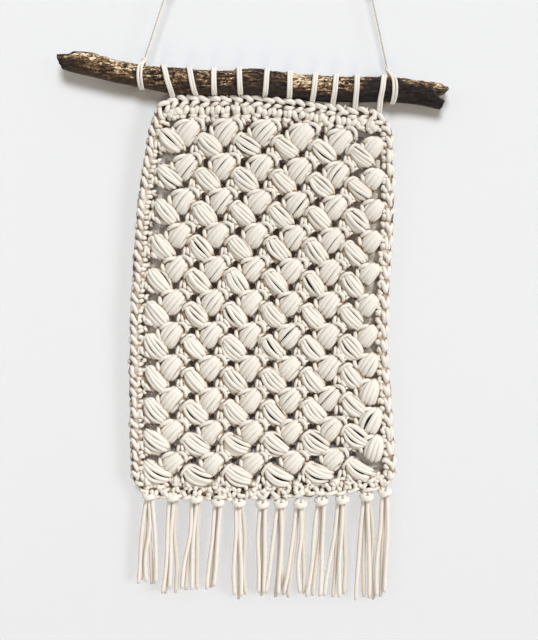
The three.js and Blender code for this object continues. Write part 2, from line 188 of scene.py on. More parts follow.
def add_piece(name, wound, material, nodes):
    """One mesh piece of wound yarns, which rides on the root and stands for the CAD nodes."""
    corners = []
    starts = []
    marks = []
    base = 0
    loops = 0
    for vertices, *faces in wound:
        for polygons, polygon_marks in zip(faces[:2], faces[2:]):
            count, sides = polygons.shape
            corners.append((polygons + base).ravel())
            starts.append(loops + sides * np.arange(count))
            marks.append(polygon_marks.reshape(-1, 2))
            loops += count * sides
        base += len(vertices)
    mesh = bpy.data.meshes.new(name)
    mesh.vertices.add(base)
    mesh.vertices.foreach_set("co", np.concatenate([w[0] for w in wound]).ravel() * MM)
    mesh.loops.add(loops)
    mesh.loops.foreach_set("vertex_index", np.concatenate(corners).astype(np.int32))
    starts = np.concatenate(starts).astype(np.int32)
    mesh.polygons.add(len(starts))
    mesh.polygons.foreach_set("loop_start", starts)
    mesh.polygons.foreach_set("use_smooth", np.ones(len(starts), bool))
    lengthwise = mesh.uv_layers.new(name="lengthwise")
    lengthwise.data.foreach_set("uv", np.concatenate(marks).ravel() * MM)
    mesh.update(calc_edges=True)
    mesh.validate()
    mesh.materials.append(material)
    piece = bpy.data.objects.new(name, mesh)
    bpy.context.scene.collection.objects.link(piece)
    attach(piece, "root")
    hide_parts(*nodes)
    return piece


# Twisted cotton thread: undyed, matt, its plies showing as fine slanting ridges. The ridges are
# drawn a little coarser than the ply so that they show.
BAND = 0.314  # width of one band of a wave texture at a scale of one
SHARE, FIRST, SECOND = 0, 6, 7  # the inputs of a Mix node that mixes colours
MIXED = 2  # and its output
twisted_thread, tree = new_material("twisted_cotton_thread")
place = add_node(tree, "TexCoord")
turned = add_node(
    tree,
    "Mapping",
    {"Vector": place.outputs["Object"], "Rotation": (0, math.radians(THREAD_SLANT), 0)},
)
ply = add_node(
    tree,
    "TexWave",
    {"Vector": turned.outputs["Vector"], "Scale": BAND / (THREAD_TWIST * MM), "Distortion": 1.0},
    bands_direction="Z",
)
thread_tone = add_node(
    tree,
    "Mix",
    {SHARE: ply.outputs["Fac"], FIRST: linear("#b3a68f"), SECOND: linear("#d9cfbd")},
    data_type="RGBA",
)
ridge = add_node(
    tree, "Bump", {"Height": ply.outputs["Fac"], "Strength": 0.5, "Distance": 0.15 * MM}
)
surface = add_node(
    tree,
    "BsdfPrincipled",
    {
        "Base Color": thread_tone.outputs[MIXED],
        "Roughness": 0.9,
        "Normal": ridge.outputs["Normal"],
        "Sheen Weight": 0.2,
    },
)
add_node(tree, "OutputMaterial", {"Surface": surface.outputs["BSDF"]})

for side, hanger in HANGERS.items():
    knot = np.array(hanger["knot"])
    top = np.array(hanger["top"])
    rise = unit(top - knot)
    beside = unit(np.cross(FRONT, rise))
    loop_knot = top - rise * (LOOP["length"] + LOOP["knot_seat"] * LOOP["knot"])
    route_start = knot + rise * (KNOT_RADIUS + CLEARANCE)
    route_end = loop_knot - rise * (LOOP["knot"] + CLEARANCE)
    steps = np.linspace(0, 1, THREAD_POINTS)[:, None]
    route = route_start + (route_end - route_start) * steps
    curve = bpy.data.curves.new(f"hanger_thread_{side}", "CURVE")
    curve.dimensions = "3D"
    curve.bevel_depth = THREAD / 2 * MM
    curve.bevel_resolution = 3
    curve.use_fill_caps = True
    spline = curve.splines.new("POLY")
    spline.points.add(len(route) - 1)
    for point, at in zip(spline.points, route):
        point.co = (*(at * MM), 1)
    curve.materials.append(twisted_thread)
    hanger_thread = bpy.data.objects.new(f"hanger_thread_{side}", curve)
    bpy.context.scene.collection.objects.link(hanger_thread)
    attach(hanger_thread, "root")
    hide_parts(f"thread_{side}")

    turn = np.linspace(-np.pi, np.pi, LOOP["steps"])[:, None]
    half = (LOOP["length"] - THREAD) / 2
    loop_middle = top - rise * LOOP["length"] / 2
    loop_route = (
        loop_middle + np.sin(turn) * beside * half * LOOP["share"] + np.cos(turn) * rise * half
    )
    whipping_turn = np.linspace(0, WHIPPING["turns"] * 2 * np.pi, WHIPPING["steps"])[:, None]
    whipping = (
        loop_knot
        + np.sin(whipping_turn) * beside * WHIPPING["radius"]
        + np.cos(whipping_turn) * FRONT * WHIPPING["radius"]
        + np.linspace(WHIPPING["low"], WHIPPING["high"], WHIPPING["steps"])[:, None] * rise
    )
    hanger_loop = add_piece(
        f"hanger_loop_{side}",
        [
            wind(loop_route[None], THREAD, THREAD, FRONT),
            wind(whipping[None], WHIPPING["thread"], WHIPPING["thread"], rise),
        ],
        twisted_thread,
        [f"thread_loop_{side}"],
    )

# The branch: weathered driftwood, charcoal and smooth below, worn to pale pitted wood above, and
# broken off at both ends, with a split in the right one.
BARK_STEPS = 460
BARK_SIDES = 112
END_RINGS = 14
BRANCH_RIPPLE = 0.018
BREAK_SHARE = 0.05  # share of the branch's length over which a broken end draws the bark along
# Patches of wear of three sizes: their weight, their length along the branch, where on the noise
# they start, and their girth
PATCHES = ((0.35, 21, 40, 8), (0.35, 8, 11, 4), (0.3, 4, 5, 2))


def table(columns, *rows):
    """A table as a list of rows that hold their values by the columns' names."""
    return [dict(zip(columns.split(), row)) for row in rows]


BRANCH = table(
    "x top bottom",
    (-212.5, -78.0, -93.6),
    (-206.5, -77.4, -94.4),
    (-200.0, -76.9, -95.7),
    (-197.0, -75.2, -96.3),
    (-190.0, -74.8, -97.8),
    (-179.5, -75.8, -100.2),
    (-154.5, -83.3, -106.3),
    (-129.5, -88.2, -111.0),
    (-102.5, -91.0, -117.2),
    (-74.5, -93.0, -120.4),
    (-44.5, -94.0, -121.0),
    (-12.5, -92.2, -121.3),
    (7.5, -95.2, -122.4),
    (60.5, -100.0, -126.0),
    (124.5, -101.3, -126.4),
    (150.5, -104.5, -129.5),
    (168.5, -106.8, -132.6),
    (176.5, -110.0, -133.2),
)
# How far the broken ends reach at each height
LEFT_BREAK = table(
    "z x",
    (-98.0, -204.6),
    (-94.7, -205.9),
    (-90.0, -208.4),
    (-85.0, -210.4),
    (-80.0, -212.4),
    (-76.0, -213.2),
)
RIGHT_BREAK = table(
    "z x",
    (-134.5, 170.4),
    (-132.6, 171.2),
    (-128.0, 172.8),
    (-125.6, 173.6),
    (-123.2, 169.0),
    (-121.0, 166.4),
    (-118.8, 169.4),
    (-117.0, 175.6),
    (-113.3, 178.2),
    (-110.4, 177.6),
    (-106.0, 168.5),
)
# Where the bark is worn away: how far up the branch the wear starts, from -1 below to 1 above,
# and how pale the bark and the bared wood are
WEAR = table(
    "x start bark bared",
    (-213.0, 0.7, 0.14, 0.32),
    (-200.0, 0.3, 0.2, 0.4),
    (-188.0, -0.1, 0.24, 0.51),
    (-165.0, -0.1, 0.25, 0.5),
    (-150.0, -0.4, 0.26, 0.54),
    (-128.0, -0.1, 0.25, 0.38),
    (-92.0, -0.3, 0.22, 0.34),
    (-40.0, -0.1, 0.2, 0.28),
    (-15.0, 0.3, 0.18, 0.26),
    (12.0, 0.2, 0.15, 0.25),
    (22.0, -0.2, 0.13, 0.7),
    (42.0, -0.1, 0.12, 0.62),
    (56.0, -0.4, 0.12, 0.5),
    (80.0, -0.1, 0.12, 0.36),
    (104.0, 0.5, 0.1, 0.38),
    (120.0, 0.75, 0.09, 0.44),
    (130.0, 0.72, 0.09, 0.74),
    (152.0, 0.76, 0.09, 0.7),
    (180.0, 0.55, 0.1, 0.52),
)
LATTICE = 64
chance = np.random.default_rng(17)
lattice = chance.random((LATTICE, LATTICE))


def read(rows, name, at):
    """A column of a table as a smooth curve over its first column, read at some places."""
    place = next(iter(rows[0]))
    return smooth_curve([row[place] for row in rows], [row[name] for row in rows], at)


def mottle(u, v):
    """Smooth noise from 0 to 1 over two coordinates, with one bump for each step of one."""
    i = np.floor(u).astype(int)
    j = np.floor(v).astype(int)
    s = u - i
    t = v - j
    s = s * s * (3 - 2 * s)
    t = t * t * (3 - 2 * t)
    i, j, next_i, next_j = (k % LATTICE for k in (i, j, i + 1, j + 1))
    low = lattice[i, j] * (1 - s) + lattice[next_i, j] * s
    high = lattice[i, next_j] * (1 - s) + lattice[next_i, next_j] * s
    return low * (1 - t) + high * t


def branch_at(x):
    """The height of the branch's axis and its radius at x."""
    top = read(BRANCH, "top", x)
    bottom = read(BRANCH, "bottom", x)
    return (top + bottom) / 2, (top - bottom) / 2


share, angle = np.meshgrid(
    np.linspace(0, 1, BARK_STEPS), 2 * np.pi * np.arange(BARK_SIDES) / BARK_SIDES, indexing="ij"
)
flat_x = BRANCH[0]["x"] + share * (BRANCH[-1]["x"] - BRANCH[0]["x"])
axis_z, radius = branch_at(flat_x)
# Three and five slow ribs that wind along the branch keep it from being round
wave = np.sin(3 * angle + flat_x * 0.05) + 0.7 * np.sin(5 * angle - flat_x * 0.083)
arc = angle / (2 * np.pi) * LATTICE  # wraps round the branch without a seam
patchy = sum(
    weight * mottle(flat_x / length + start, arc / girth)
    for weight, length, start, girth in PATCHES
)
worn = np.cos(angle) - read(WEAR, "start", flat_x) + 1.9 * (patchy - 0.5)
worn = np.clip(0.5 + worn * 1.1, 0, 1)
pale = read(WEAR, "bark", flat_x) * (1 - worn) + read(WEAR, "bared", flat_x) * worn
# The worn wood lies lower than the bark, and has ridges along it and pits of two sizes
ridges = mottle(flat_x / 17, arc * 0.5) + 0.6 * mottle(flat_x / 9 + 23, arc)
large_pits = np.clip(mottle(flat_x / 3.4 + 7, arc / 2) - 0.58, 0, 1)
small_pits = np.clip(mottle(flat_x / 1.7 + 31, arc) - 0.66, 0, 1)
reach = radius * (1 + BRANCH_RIPPLE * wave)
reach += 0.5 * (ridges - 0.8) * (0.5 + 0.6 * worn)
reach -= worn * (0.45 + 3.2 * (large_pits + 0.8 * small_pits))
side_y = -reach * np.sin(angle)
side_z = axis_z + reach * np.cos(angle)
crumble = 2.4 * (mottle(side_z / 1.5 + 3, side_y / 2.6 + 40) - 0.5)
nose = np.clip(1 - share / BREAK_SHARE, 0, 1) ** 1.5
tail = np.clip(1 - (1 - share) / BREAK_SHARE, 0, 1) ** 1.5
left_move = read(LEFT_BREAK, "x", side_z[0]) + crumble[0] - BRANCH[0]["x"]
right_move = read(RIGHT_BREAK, "x", side_z[-1]) + crumble[-1] - BRANCH[-1]["x"]
side_x = flat_x + nose * left_move + tail * right_move

# The broken faces, as rings that close towards the axis, a little dished
rings = [np.stack((side_x, side_y, side_z), -1)]
for end, break_table, dent in ((0, LEFT_BREAK, 0.8), (-1, RIGHT_BREAK, -0.8)):
    inward = np.linspace(1, 0, END_RINGS + 1)[1:-1, None]
    face_y = side_y[end] * inward
    face_z = axis_z[end] + (side_z[end] - axis_z[end]) * inward
    face_x = read(break_table, "x", face_z)
    face_x += 1.6 * (mottle(face_z / 1.3 + 3, face_y / 2.6 + 40) - 0.5)
    face_x += dent * (1 - inward**4)
    rings.append(np.stack((face_x, face_y, face_z), -1))
bark, left_face, right_face = rings
branch_rows = np.concatenate((left_face[::-1], bark, right_face))
row_count = len(branch_rows)
index = np.arange(row_count * BARK_SIDES).reshape(row_count, BARK_SIDES)
around = np.roll(index, -1, axis=1)
branch_quads = np.stack((index[:-1], around[:-1], around[1:], index[1:]), -1).reshape(-1, 4)
branch_caps = np.stack((index[0, ::-1], index[-1]))
branch_piece = (
    branch_rows.reshape(-1, 3),
    branch_quads,
    branch_caps,
    np.zeros((len(branch_quads), 4, 2)),
    np.zeros((2, BARK_SIDES, 2)),
)

# Driftwood: sun-bleached and salt-worn, dry and quite matt. Charcoal bark with lengthwise grain
# shows below, and above it brown, ochre and cream wood with streaks and dark pits.
GRAIN = {"width": 0.9, "drawn_out": 0.12, "slant": 4.0}  # the streaks along the branch
FLECK = {"width": 1.0, "drawn_out": 0.55, "slant": 9.0}  # the flecks and pits
SPOT = 0.5  # width of one spot of a noise texture at a scale of one
# From pits and charcoal to bleached wood, with the share at which each is reached
WOOD_TONES = (
    (0.0, "#141110"),
    (0.13, "#2b2624"),
    (0.25, "#3c2d22"),
    (0.5, "#6f563f"),
    (0.75, "#b6986f"),
    (1.0, "#f2e3c6"),
)
driftwood, tree = new_material("weathered_driftwood")
place = add_node(tree, "TexCoord")
wear_mark = add_node(tree, "Attribute", attribute_name="wear")
pale_mark = add_node(tree, "Attribute", attribute_name="pale")
noises = []
for pattern, noise in (
    (GRAIN, {"Detail": 3.0, "Roughness": 0.6}),
    (FLECK, {"Detail": 2.0, "Roughness": 0.6, "Distortion": 0.6}),
):
    drawn_out = add_node(
        tree,
        "Mapping",
        {
            "Vector": place.outputs["Object"],
            "Scale": (pattern["drawn_out"], 1, 1),
            "Rotation": (0, math.radians(pattern["slant"]), 0),
        },
    )
    scale = SPOT / (pattern["width"] * MM)
    noise = {"Vector": drawn_out.outputs["Vector"], "Scale": scale, **noise}
    noises.append(add_node(tree, "TexNoise", noise))
grain, fleck = noises
grain_height = add_node(
    tree, "Math", {0: grain.outputs["Fac"], 1: 0.5, 2: -0.5}, operation="MULTIPLY_ADD"
)
wood_height = add_node(
    tree,
    "Math",
    {0: fleck.outputs["Fac"], 1: 0.5, 2: grain_height.outputs[0]},
    operation="MULTIPLY_ADD",
)
contrast = add_node(
    tree, "Math", {0: wear_mark.outputs["Fac"], 1: 4.2, 2: 1.2}, operation="MULTIPLY_ADD"
)
wood_share = add_node(
    tree,
    "Math",
    {0: wood_height.outputs[0], 1: contrast.outputs[0], 2: pale_mark.outputs["Fac"]},
    operation="MULTIPLY_ADD",
)
driftwood_tone = add_node(tree, "ValToRGB", {"Fac": wood_share.outputs[0]})
stops = driftwood_tone.color_ramp.elements
for at, code in WOOD_TONES:
    stop = stops[0] if at == 0 else stops[-1] if at == 1 else stops.new(at)
    stop.color = linear(code)
grain_bump = add_node(
    tree, "Bump", {"Height": grain.outputs["Fac"], "Strength": 0.6, "Distance": 0.6 * MM}
)
fleck_bump = add_node(
    tree,
    "Bump",
    {
        "Height": fleck.outputs["Fac"],
        "Strength": 0.6,
        "Distance": 0.8 * MM,
        "Normal": grain_bump.outputs["Normal"],
    },
)
surface = add_node(
    tree,
    "BsdfPrincipled",
    {
        "Base Color": driftwood_tone.outputs["Color"],
        "Roughness": 0.85,
        "Specular IOR Level": 0.2,
        "Normal": fleck_bump.outputs["Normal"],
    },
)
add_node(tree, "OutputMaterial", {"Surface": surface.outputs["BSDF"]})


def mark_points(piece, name, values):
    """Gives each point of a piece a value by which its material shades it."""
    mark = piece.data.attributes.new(name, "FLOAT", "POINT")
    mark.data.foreach_set("value", values.ravel().astype(np.float32))


branch = add_piece("driftwood_branch", [branch_piece], driftwood, ["branch"])
fresh_break = np.ones(left_face.shape[:2])
for name, left_value, bark_values, right_value in (
    ("wear", 0.1, worn, 0.9),
    ("pale", 0.14, pale, 0.36),
):
    ends = (fresh_break * left_value, bark_values, fresh_break * right_value)
    mark_points(branch, name, np.concatenate(ends))

# The yarn ties: a doubled yarn knotted tight round the branch on each side, its two strands
# drawn up to the knot from which the thread rises.
TIE_YARN = 2.7
TIE_STEPS = 73
TIE_KNOT = {"yarn": 2.2, "size": 0.62, "depth": 1.4, "steps": 81}
ON_WOOD = 0.2  # yarns lie this far off the branch
TIES = {
    "left": {"x": -127.0, "peak": 1.5, "rise": 1.5, "strands": ((-1.2, -2.4), (1.2, -1.6))},
    "right": {"x": 122.5, "peak": -4.4, "rise": 5.3, "strands": ((-1.1, 1.6), (1.2, 2.4))},
}

# Tubular cotton yarn: a soft chain-knitted cord of undyed cotton, matt, with a faint nap that
# catches the light. Its knit shows as fine slanting ribs, drawn coarser than they are.
RIB = 1.1
RIB_SLANT = 32.0
NAP = 0.9
DYE_PATCH = 24.0  # the cotton is a little darker or lighter in patches of this width
tubular_cotton, tree = new_material("tubular_cotton_yarn")
length_map = add_node(tree, "UVMap", uv_map="lengthwise")
place = add_node(tree, "TexCoord")
rib_slant = add_node(
    tree,
    "Mapping",
    {"Vector": length_map.outputs["UV"], "Rotation": (0, 0, math.radians(RIB_SLANT))},
)
rib = add_node(
    tree,
    "TexWave",
    {
        "Vector": rib_slant.outputs["Vector"],
        "Scale": BAND / (RIB * MM),
        "Distortion": 1.4,
        "Detail": 1.0,
        "Detail Scale": 1.5,
    },
    bands_direction="Y",
)
nap = add_node(
    tree,
    "TexNoise",
    {
        "Vector": place.outputs["Object"],
        "Scale": SPOT / (NAP * MM),
        "Detail": 3.0,
        "Roughness": 0.6,
    },
)
dye = add_node(
    tree,
    "TexNoise",
    {"Vector": place.outputs["Object"], "Scale": SPOT / (DYE_PATCH * MM), "Detail": 2.0},
)
yarn_tone = add_node(
    tree,
    "Mix",
    {SHARE: dye.outputs["Fac"], FIRST: linear("#ebe6dd"), SECOND: linear("#e1dad0")},
    data_type="RGBA",
)
rib_shade = add_node(tree, "MapRange", {"Value": rib.outputs["Fac"], "To Max": 0.1})
ribbed_tone = add_node(
    tree,
    "Mix",
    {
        SHARE: rib_shade.outputs["Result"],
        FIRST: yarn_tone.outputs[MIXED],
        SECOND: linear("#bfae9b"),
    },
    data_type="RGBA",
)
# Painted shade: a yarn that lies low between its neighbours is darkened towards brown, by the mark set on
# it below
painted_shade_mark = add_node(tree, "Attribute", attribute_name="painted_shade")
painted_shade_ramp = add_node(tree, "ValToRGB", {"Fac": painted_shade_mark.outputs["Fac"]})
stops = painted_shade_ramp.color_ramp.elements
stops[0].color = linear("#ffffff")
stops[1].color = linear("#2b1d13")
stops.new(0.45).color = linear("#c2b09c")
painted_shade_tone = add_node(
    tree,
    "Mix",
    {SHARE: 1.0, FIRST: ribbed_tone.outputs[MIXED], SECOND: painted_shade_ramp.outputs["Color"]},
    data_type="RGBA",
    blend_type="MULTIPLY",
)
rib_bump = add_node(
    tree, "Bump", {"Height": rib.outputs["Fac"], "Strength": 0.35, "Distance": 0.25 * MM}
)
nap_bump = add_node(
    tree,
    "Bump",
    {
        "Height": nap.outputs["Fac"],
        "Strength": 0.4,
        "Distance": 0.3 * MM,
        "Normal": rib_bump.outputs["Normal"],
    },
)
surface = add_node(
    tree,
    "BsdfPrincipled",
    {
        "Base Color": painted_shade_tone.outputs[MIXED],
        "Roughness": 0.92,
        "Specular IOR Level": 0.25,
        "Sheen Weight": 0.25,
        "Sheen Roughness": 0.55,
        "Normal": nap_bump.outputs["Normal"],
    },
)
add_node(tree, "OutputMaterial", {"Surface": surface.outputs["BSDF"]})


def add_yarn(name, wound, node="panel"):
    """One piece of the tubular cotton yarn, which stands for a CAD node."""
    return add_piece(name, wound, tubular_cotton, [node])


for side, tie in TIES.items():
    turn = np.linspace(-np.pi, np.pi, TIE_STEPS)
    pull = np.maximum(0, np.cos(turn)) ** 8
    axis, radius = branch_at(np.full(turn.shape, tie["x"]))
    ring = radius + ON_WOOD + TIE_YARN * 0.4
    wound = []
    for offset, bulge in tie["strands"]:
        x = tie["x"] + offset * (1 - 0.6 * pull) + bulge * np.maximum(0, np.sin(turn)) * (1 - pull)
        y = -ring * np.sin(turn)
        z = axis + ring * np.cos(turn) + tie["rise"] * pull
        route = np.stack((x + tie["peak"] * pull, y, z), axis=-1)
        wound.append(wind(route[None], TIE_YARN, TIE_YARN * 0.8, ACROSS))
    coil = np.linspace(0, 2 * np.pi, TIE_KNOT["steps"])
    pretzel = np.stack(
        (
            (2 + np.cos(3 * coil)) * np.cos(2 * coil),
            np.sin(3 * coil) * TIE_KNOT["depth"],
            (2 + np.cos(3 * coil)) * np.sin(2 * coil),
        ),
        axis=-1,
    )
    knot = (np.array(HANGERS[side]["knot"]) + TIE_KNOT["size"] * pretzel)[None]
    wound.append(wind(knot, TIE_KNOT["yarn"], TIE_KNOT["yarn"], pretzel[None]))
    add_yarn(f"yarn_tie_{side}", wound, f"tie_{side}")

# The ground of the panel: the loops that lie between the puffs, one flat layer of looped cotton
# with a gap beside each puff. Everything else on the panel is worked over it.
COLUMNS = 6
ROWS = 11
ROW_PITCH = 34.9
ROW_EASE = 0.16
EDGE_TOP = -0.71
EDGE_BOTTOM = 11.45
CORNERS = (26.0, 32.0, 28.0, 20.0)  # upper right, upper left, lower left, lower right
GROUND_DEPTH = -2.2
GROUND_GRID = (131, 199)  # points across and down, about 2 mm apart
GROUND_SIDES = (0.02, 0.98)  # shares of the way between the side edges
GROUND_ROWS = (EDGE_TOP + 0.2, EDGE_BOTTOM - 0.15)
GROUND_RIPPLE = {"height": 0.5, "across": 0.31, "down": 0.36}
GROUND_INSET = 5.0
# The sides of the stitch field and of the panel, by row
LEVELS = table(
    "row field_left field_right edge_left edge_right",
    (0.0, -106.5, 121.5, -119.5, 124.5),
    (2.2, -111.5, 115.8, -131.5, 124.5),
    (4.2, -119.1, 111.9, -136.5, 121.5),
    (6.2, -123.9, 110.1, -140.0, 118.8),
    (8.2, -124.4, 111.7, -140.0, 121.5),
    (11.0, -123.5, 118.5, -138.5, 127.0),
)
# The heights of the first row and of the end of the last, by column
STANDS = table(
    "column first last",
    (0, -146.0, -507.0),
    (1, -146.0, -509.0),
    (2, -145.3, -509.5),
    (3, -147.0, -509.0),
    (4, -151.5, -507.0),
    (5, -156.5, -503.0),
    (6, -161.5, -498.0),
)
GAPS = table(
    "column row width height edge_column",
    (0.2, 0.22, 5.0, 8.6, 0),
    (0.68, 0.88, 5.0, 8.6, COLUMNS - 1),
)
GAP_CORNERS = np.array(((-0.5, -0.38), (0.24, -0.5), (0.5, 0.38), (-0.24, 0.5)))
EDGE_GAP_GROWTH = 1.3
GAP_EASE = 2.0  # the ground stays this much clear of a gap's edge, so that yarns rim it


def height_at(column, row):
    """The height of a point of the hung panel."""
    first = read(STANDS, "first", column)
    last = read(STANDS, "last", column)
    fall = row * (ROW_PITCH - ROW_EASE * row) / (ROWS * (ROW_PITCH - ROW_EASE * ROWS))
    return first + (last - first) * fall


def field_point(column, row):
    """A point of the stitch field, as x and z."""
    column, row = np.broadcast_arrays(np.asarray(column, float), np.asarray(row, float))
    left = read(LEVELS, "field_left", row)
    right = read(LEVELS, "field_right", row)
    return np.stack((left + (right - left) * column / COLUMNS, height_at(column, row)), -1)


def rim_point(across, row):
    """A point between the panel's two side edges, as x and z."""
    across, row = np.broadcast_arrays(np.asarray(across, float), np.asarray(row, float))
    left = read(LEVELS, "edge_left", row)
    right = read(LEVELS, "edge_right", row)
    return np.stack((left + (right - left) * across, height_at(across * COLUMNS, row)), -1)


def rim_z(x, row):
    """The height of the rim's top or bottom edge at x."""
    row = np.array([row])
    left = read(LEVELS, "edge_left", row)
    right = read(LEVELS, "edge_right", row)
    return rim_point((x - left) / (right - left), row)[0, 1]


def inside(points, outline):
    """Which points lie inside a convex outline that runs anticlockwise."""
    found = np.ones(points.shape[:-1], bool)
    for start, end in zip(outline, np.roll(outline, -1, axis=0)):
        edge = end - start
        offset = points - start
        found &= edge[0] * offset[..., 1] - edge[1] * offset[..., 0] > 0
    return found


flat_width = LEVELS[2]["edge_right"] - LEVELS[2]["edge_left"]
flat_height = float(rim_point(0.5, EDGE_TOP)[..., 1] - rim_point(0.5, EDGE_BOTTOM)[..., 1])
across_share = np.linspace(*GROUND_SIDES, GROUND_GRID[0])
row_share = np.linspace(*GROUND_ROWS, GROUND_GRID[1])
ground_at = rim_point(across_share[None, :], row_share[:, None])
cells = (ground_at[:-1, :-1] + ground_at[1:, 1:]) / 2
kept = np.ones(cells.shape[:2], bool)
flat_x, flat_z = np.meshgrid(
    across_share[1:] * flat_width,
    (EDGE_BOTTOM - row_share[1:]) / (EDGE_BOTTOM - EDGE_TOP) * flat_height,
)
for corner, radius in enumerate(CORNERS):
    out_x = radius - flat_x if corner in (1, 2) else flat_x - flat_width + radius
    out_z = radius - flat_z if corner in (2, 3) else flat_z - flat_height + radius
    kept &= np.hypot(np.maximum(out_x, 0), np.maximum(out_z, 0)) < radius - GROUND_INSET
for row in range(ROWS):
    for column in range(COLUMNS):
        for gap in GAPS:
            growth = EDGE_GAP_GROWTH if column == gap["edge_column"] else 1.0
            middle = field_point(column + gap["column"], row + gap["row"])
            size = np.array((gap["width"] * growth, gap["height"])) + GAP_EASE
            kept &= ~inside(cells, middle + GAP_CORNERS * size)
index = np.arange(ground_at.shape[0] * ground_at.shape[1]).reshape(ground_at.shape[:2])
ground_quads = np.stack((index[:-1, :-1], index[1:, :-1], index[1:, 1:], index[:-1, 1:]), -1)
used, ground_quads = np.unique(ground_quads[kept], return_inverse=True)
ground_quads = ground_quads.reshape(-1, 4)
ground_xz = ground_at.reshape(-1, 2)[used]
ripple = GROUND_RIPPLE["height"] * np.sin(ground_xz[:, 0] * GROUND_RIPPLE["across"])
ripple = ripple * np.sin(ground_xz[:, 1] * GROUND_RIPPLE["down"])
ground_points = np.stack((ground_xz[:, 0], -(GROUND_DEPTH + ripple), ground_xz[:, 1]), -1)
no_caps = np.zeros((0, 3), int)
no_marks = np.zeros((0, 3, 2))
ground_layer = (ground_points, ground_quads, no_caps, ground_xz[ground_quads], no_marks)
ground = add_yarn("ground_loops", [ground_layer])

# The puffs: bundles of long loops drawn up together and closed at the top, one leaning to the
# right and the next to the left, so that each tucks its foot under its neighbour.
YARN = 4.4
PUFF_SAMPLES = 13
STRAND_FOOT = 0.2  # depth at which a puff's strands start and end
ARCH = 0.7  # how flat the arch of the strands is across a puff
BACK_STRANDS = 4
BACK_THICKNESS = YARN * 0.85
CORE = {"width": 10.0, "thickness": 5.4}  # the thick inside, so that no puff is hollow
HIDDEN_SIDES = {"under": 7, "core": 6}
# A puff's place in its field of the panel, its lean, the room it takes up and the column in which
# it meets the border, then the half lengths, spread, height and depth of its strands
RIGHT_PUFF, LEFT_PUFF = table(
    "column row slant reach width edge edge_share half shift spread height "
    "back_half back_spread core_half core_depth",
    (0.75, 0.25, 50.0, 26.0, 15.5, COLUMNS - 1, 0.82, 13.2, 3.2, 7.5, 7.2, 12.0, 5.6, 10.2, 1.4),
    (0.25, 0.68, -42.0, 28.0, 16.0, 0, 1.0, 14.6, 0.0, 6.2, 7.6, 14.4, 5.8, 13.0, 1.6),
)
# The seats of their strands on the arch, in degrees, and how far a strand may be off its seat,
# raised, slipped along and bowed, then the strands' width, its play and their thickness as shares
RIGHT_STRANDS, LEFT_STRANDS = table(
    "seats seat_play lift slip bow width uneven thickness",
    ((-72, -36, 0, 36, 72), 6, (-0.5, 0.5), (-0.7, 0.7), (0.2, 1.4), 1.26, (0.94, 1.08), 0.96),
    ((-72, -43, -14, 14, 43, 72), 8, (-1.2, 0.5), (-1.2, 1.2), (-0.5, 0.8), 0.94, (0.89, 1.13), 0.98),
)
STRAND_SKEW = (-0.22, 0.22)  # turn of a left-leaning puff's strand round its arch, in radians
# How the puffs that lean to the left turn and bow in each row, how large they are, and how much
# higher those beside the right border (edge) and the left border (first) sit
LEFT_LIE = table(
    "row turn bow size edge_lift first_lift",
    (0.0, 3.0, 0.6, 1.0, 0.0, 5.0),
    (3.0, -8.0, 1.0, 1.0, 0.0, 0.0),
    (6.0, -8.0, 1.4, 1.0, 0.0, 0.0),
    (8.0, -3.0, 2.0, 1.0, 4.0, 0.0),
    (9.0, 7.0, 2.6, 1.04, 3.0, 1.0),
    (10.0, 13.0, 3.4, 1.08, 0.0, 2.0),
)
# The same for those that lean to the right. Those beside the right border have a turn, a size and
# a height of their own, and come to a point at the head.
RIGHT_LIE = table(
    "row turn size edge_turn edge_size edge_lift edge_point",
    (0.0, 0.0, 1.06, 0.0, 0.86, -2.0, 0.2),
    (2.0, 0.0, 1.0, 2.0, 0.86, 0.0, 0.3),
    (7.0, 0.0, 1.0, 6.0, 0.94, 1.0, 0.5),
    (8.0, 0.0, 1.0, 16.0, 1.0, 4.5, 0.9),
    (9.0, -3.0, 0.97, 14.0, 1.08, 6.0, 1.0),
    (10.0, -6.0, 0.92, 22.0, 1.02, 8.0, 1.0),
)
BORDER_WIDTH = {"left": 13.0, "right": 9.6}
ease = np.sin(np.linspace(-np.pi / 2, np.pi / 2, PUFF_SAMPLES))
to_foot = np.maximum(0, -ease) ** 2
to_head = np.maximum(0, ease) ** 2
puff_row = np.repeat(np.arange(ROWS), COLUMNS).astype(float)
puff_column = np.tile(np.arange(COLUMNS), ROWS)
puffs = len(puff_row)
strand_chance = np.random.default_rng(11)  # the unevenness of the strands has draws of its own


def puff_places(puff):
    """Centres and turns of all puffs of a kind, with those at the edges kept off the border."""
    size = np.where(puff_column == puff["edge"], puff["edge_share"], 1.0)
    turn = np.radians(puff["slant"] + chance.uniform(-4, 4, puffs))
    row = puff_row + puff["row"]
    centre = field_point(puff_column + puff["column"], row)
    slant = math.radians(puff["slant"])
    half = np.hypot(puff["reach"] * np.cos(slant), puff["width"] * np.sin(slant)) * size / 2
    low = read(LEVELS, "edge_left", row) + BORDER_WIDTH["left"] + half
    high = read(LEVELS, "edge_right", row) - BORDER_WIDTH["right"] - half
    centre[:, 0] = np.clip(centre[:, 0], low, high)
    return centre, turn


def on_panel(along, aside, depth, centre, turn):
    """Routes along a puff, aside and in front, for each puff and strand, set on the panel."""
    along, aside, depth = np.broadcast_arrays(along, aside, depth)
    c = np.cos(turn)[:, None, None]
    s = np.sin(turn)[:, None, None]
    x = centre[:, 0][:, None, None] + along * c - aside * s
    z = centre[:, 1][:, None, None] + along * s + aside * c
    return np.stack((x, -depth, z), -1).reshape(-1, PUFF_SAMPLES, 3)


def sideways(seat, turn):
    """The direction in which each strand of a puff lies flat, by its seat on the puff's arch."""
    across = np.stack((-np.sin(turn), np.zeros_like(turn), np.cos(turn)), -1)[:, None]
    lead = across * np.cos(seat) - FRONT * np.sin(seat)
    return lead.reshape(-1, 1, 3).repeat(PUFF_SAMPLES, axis=1)


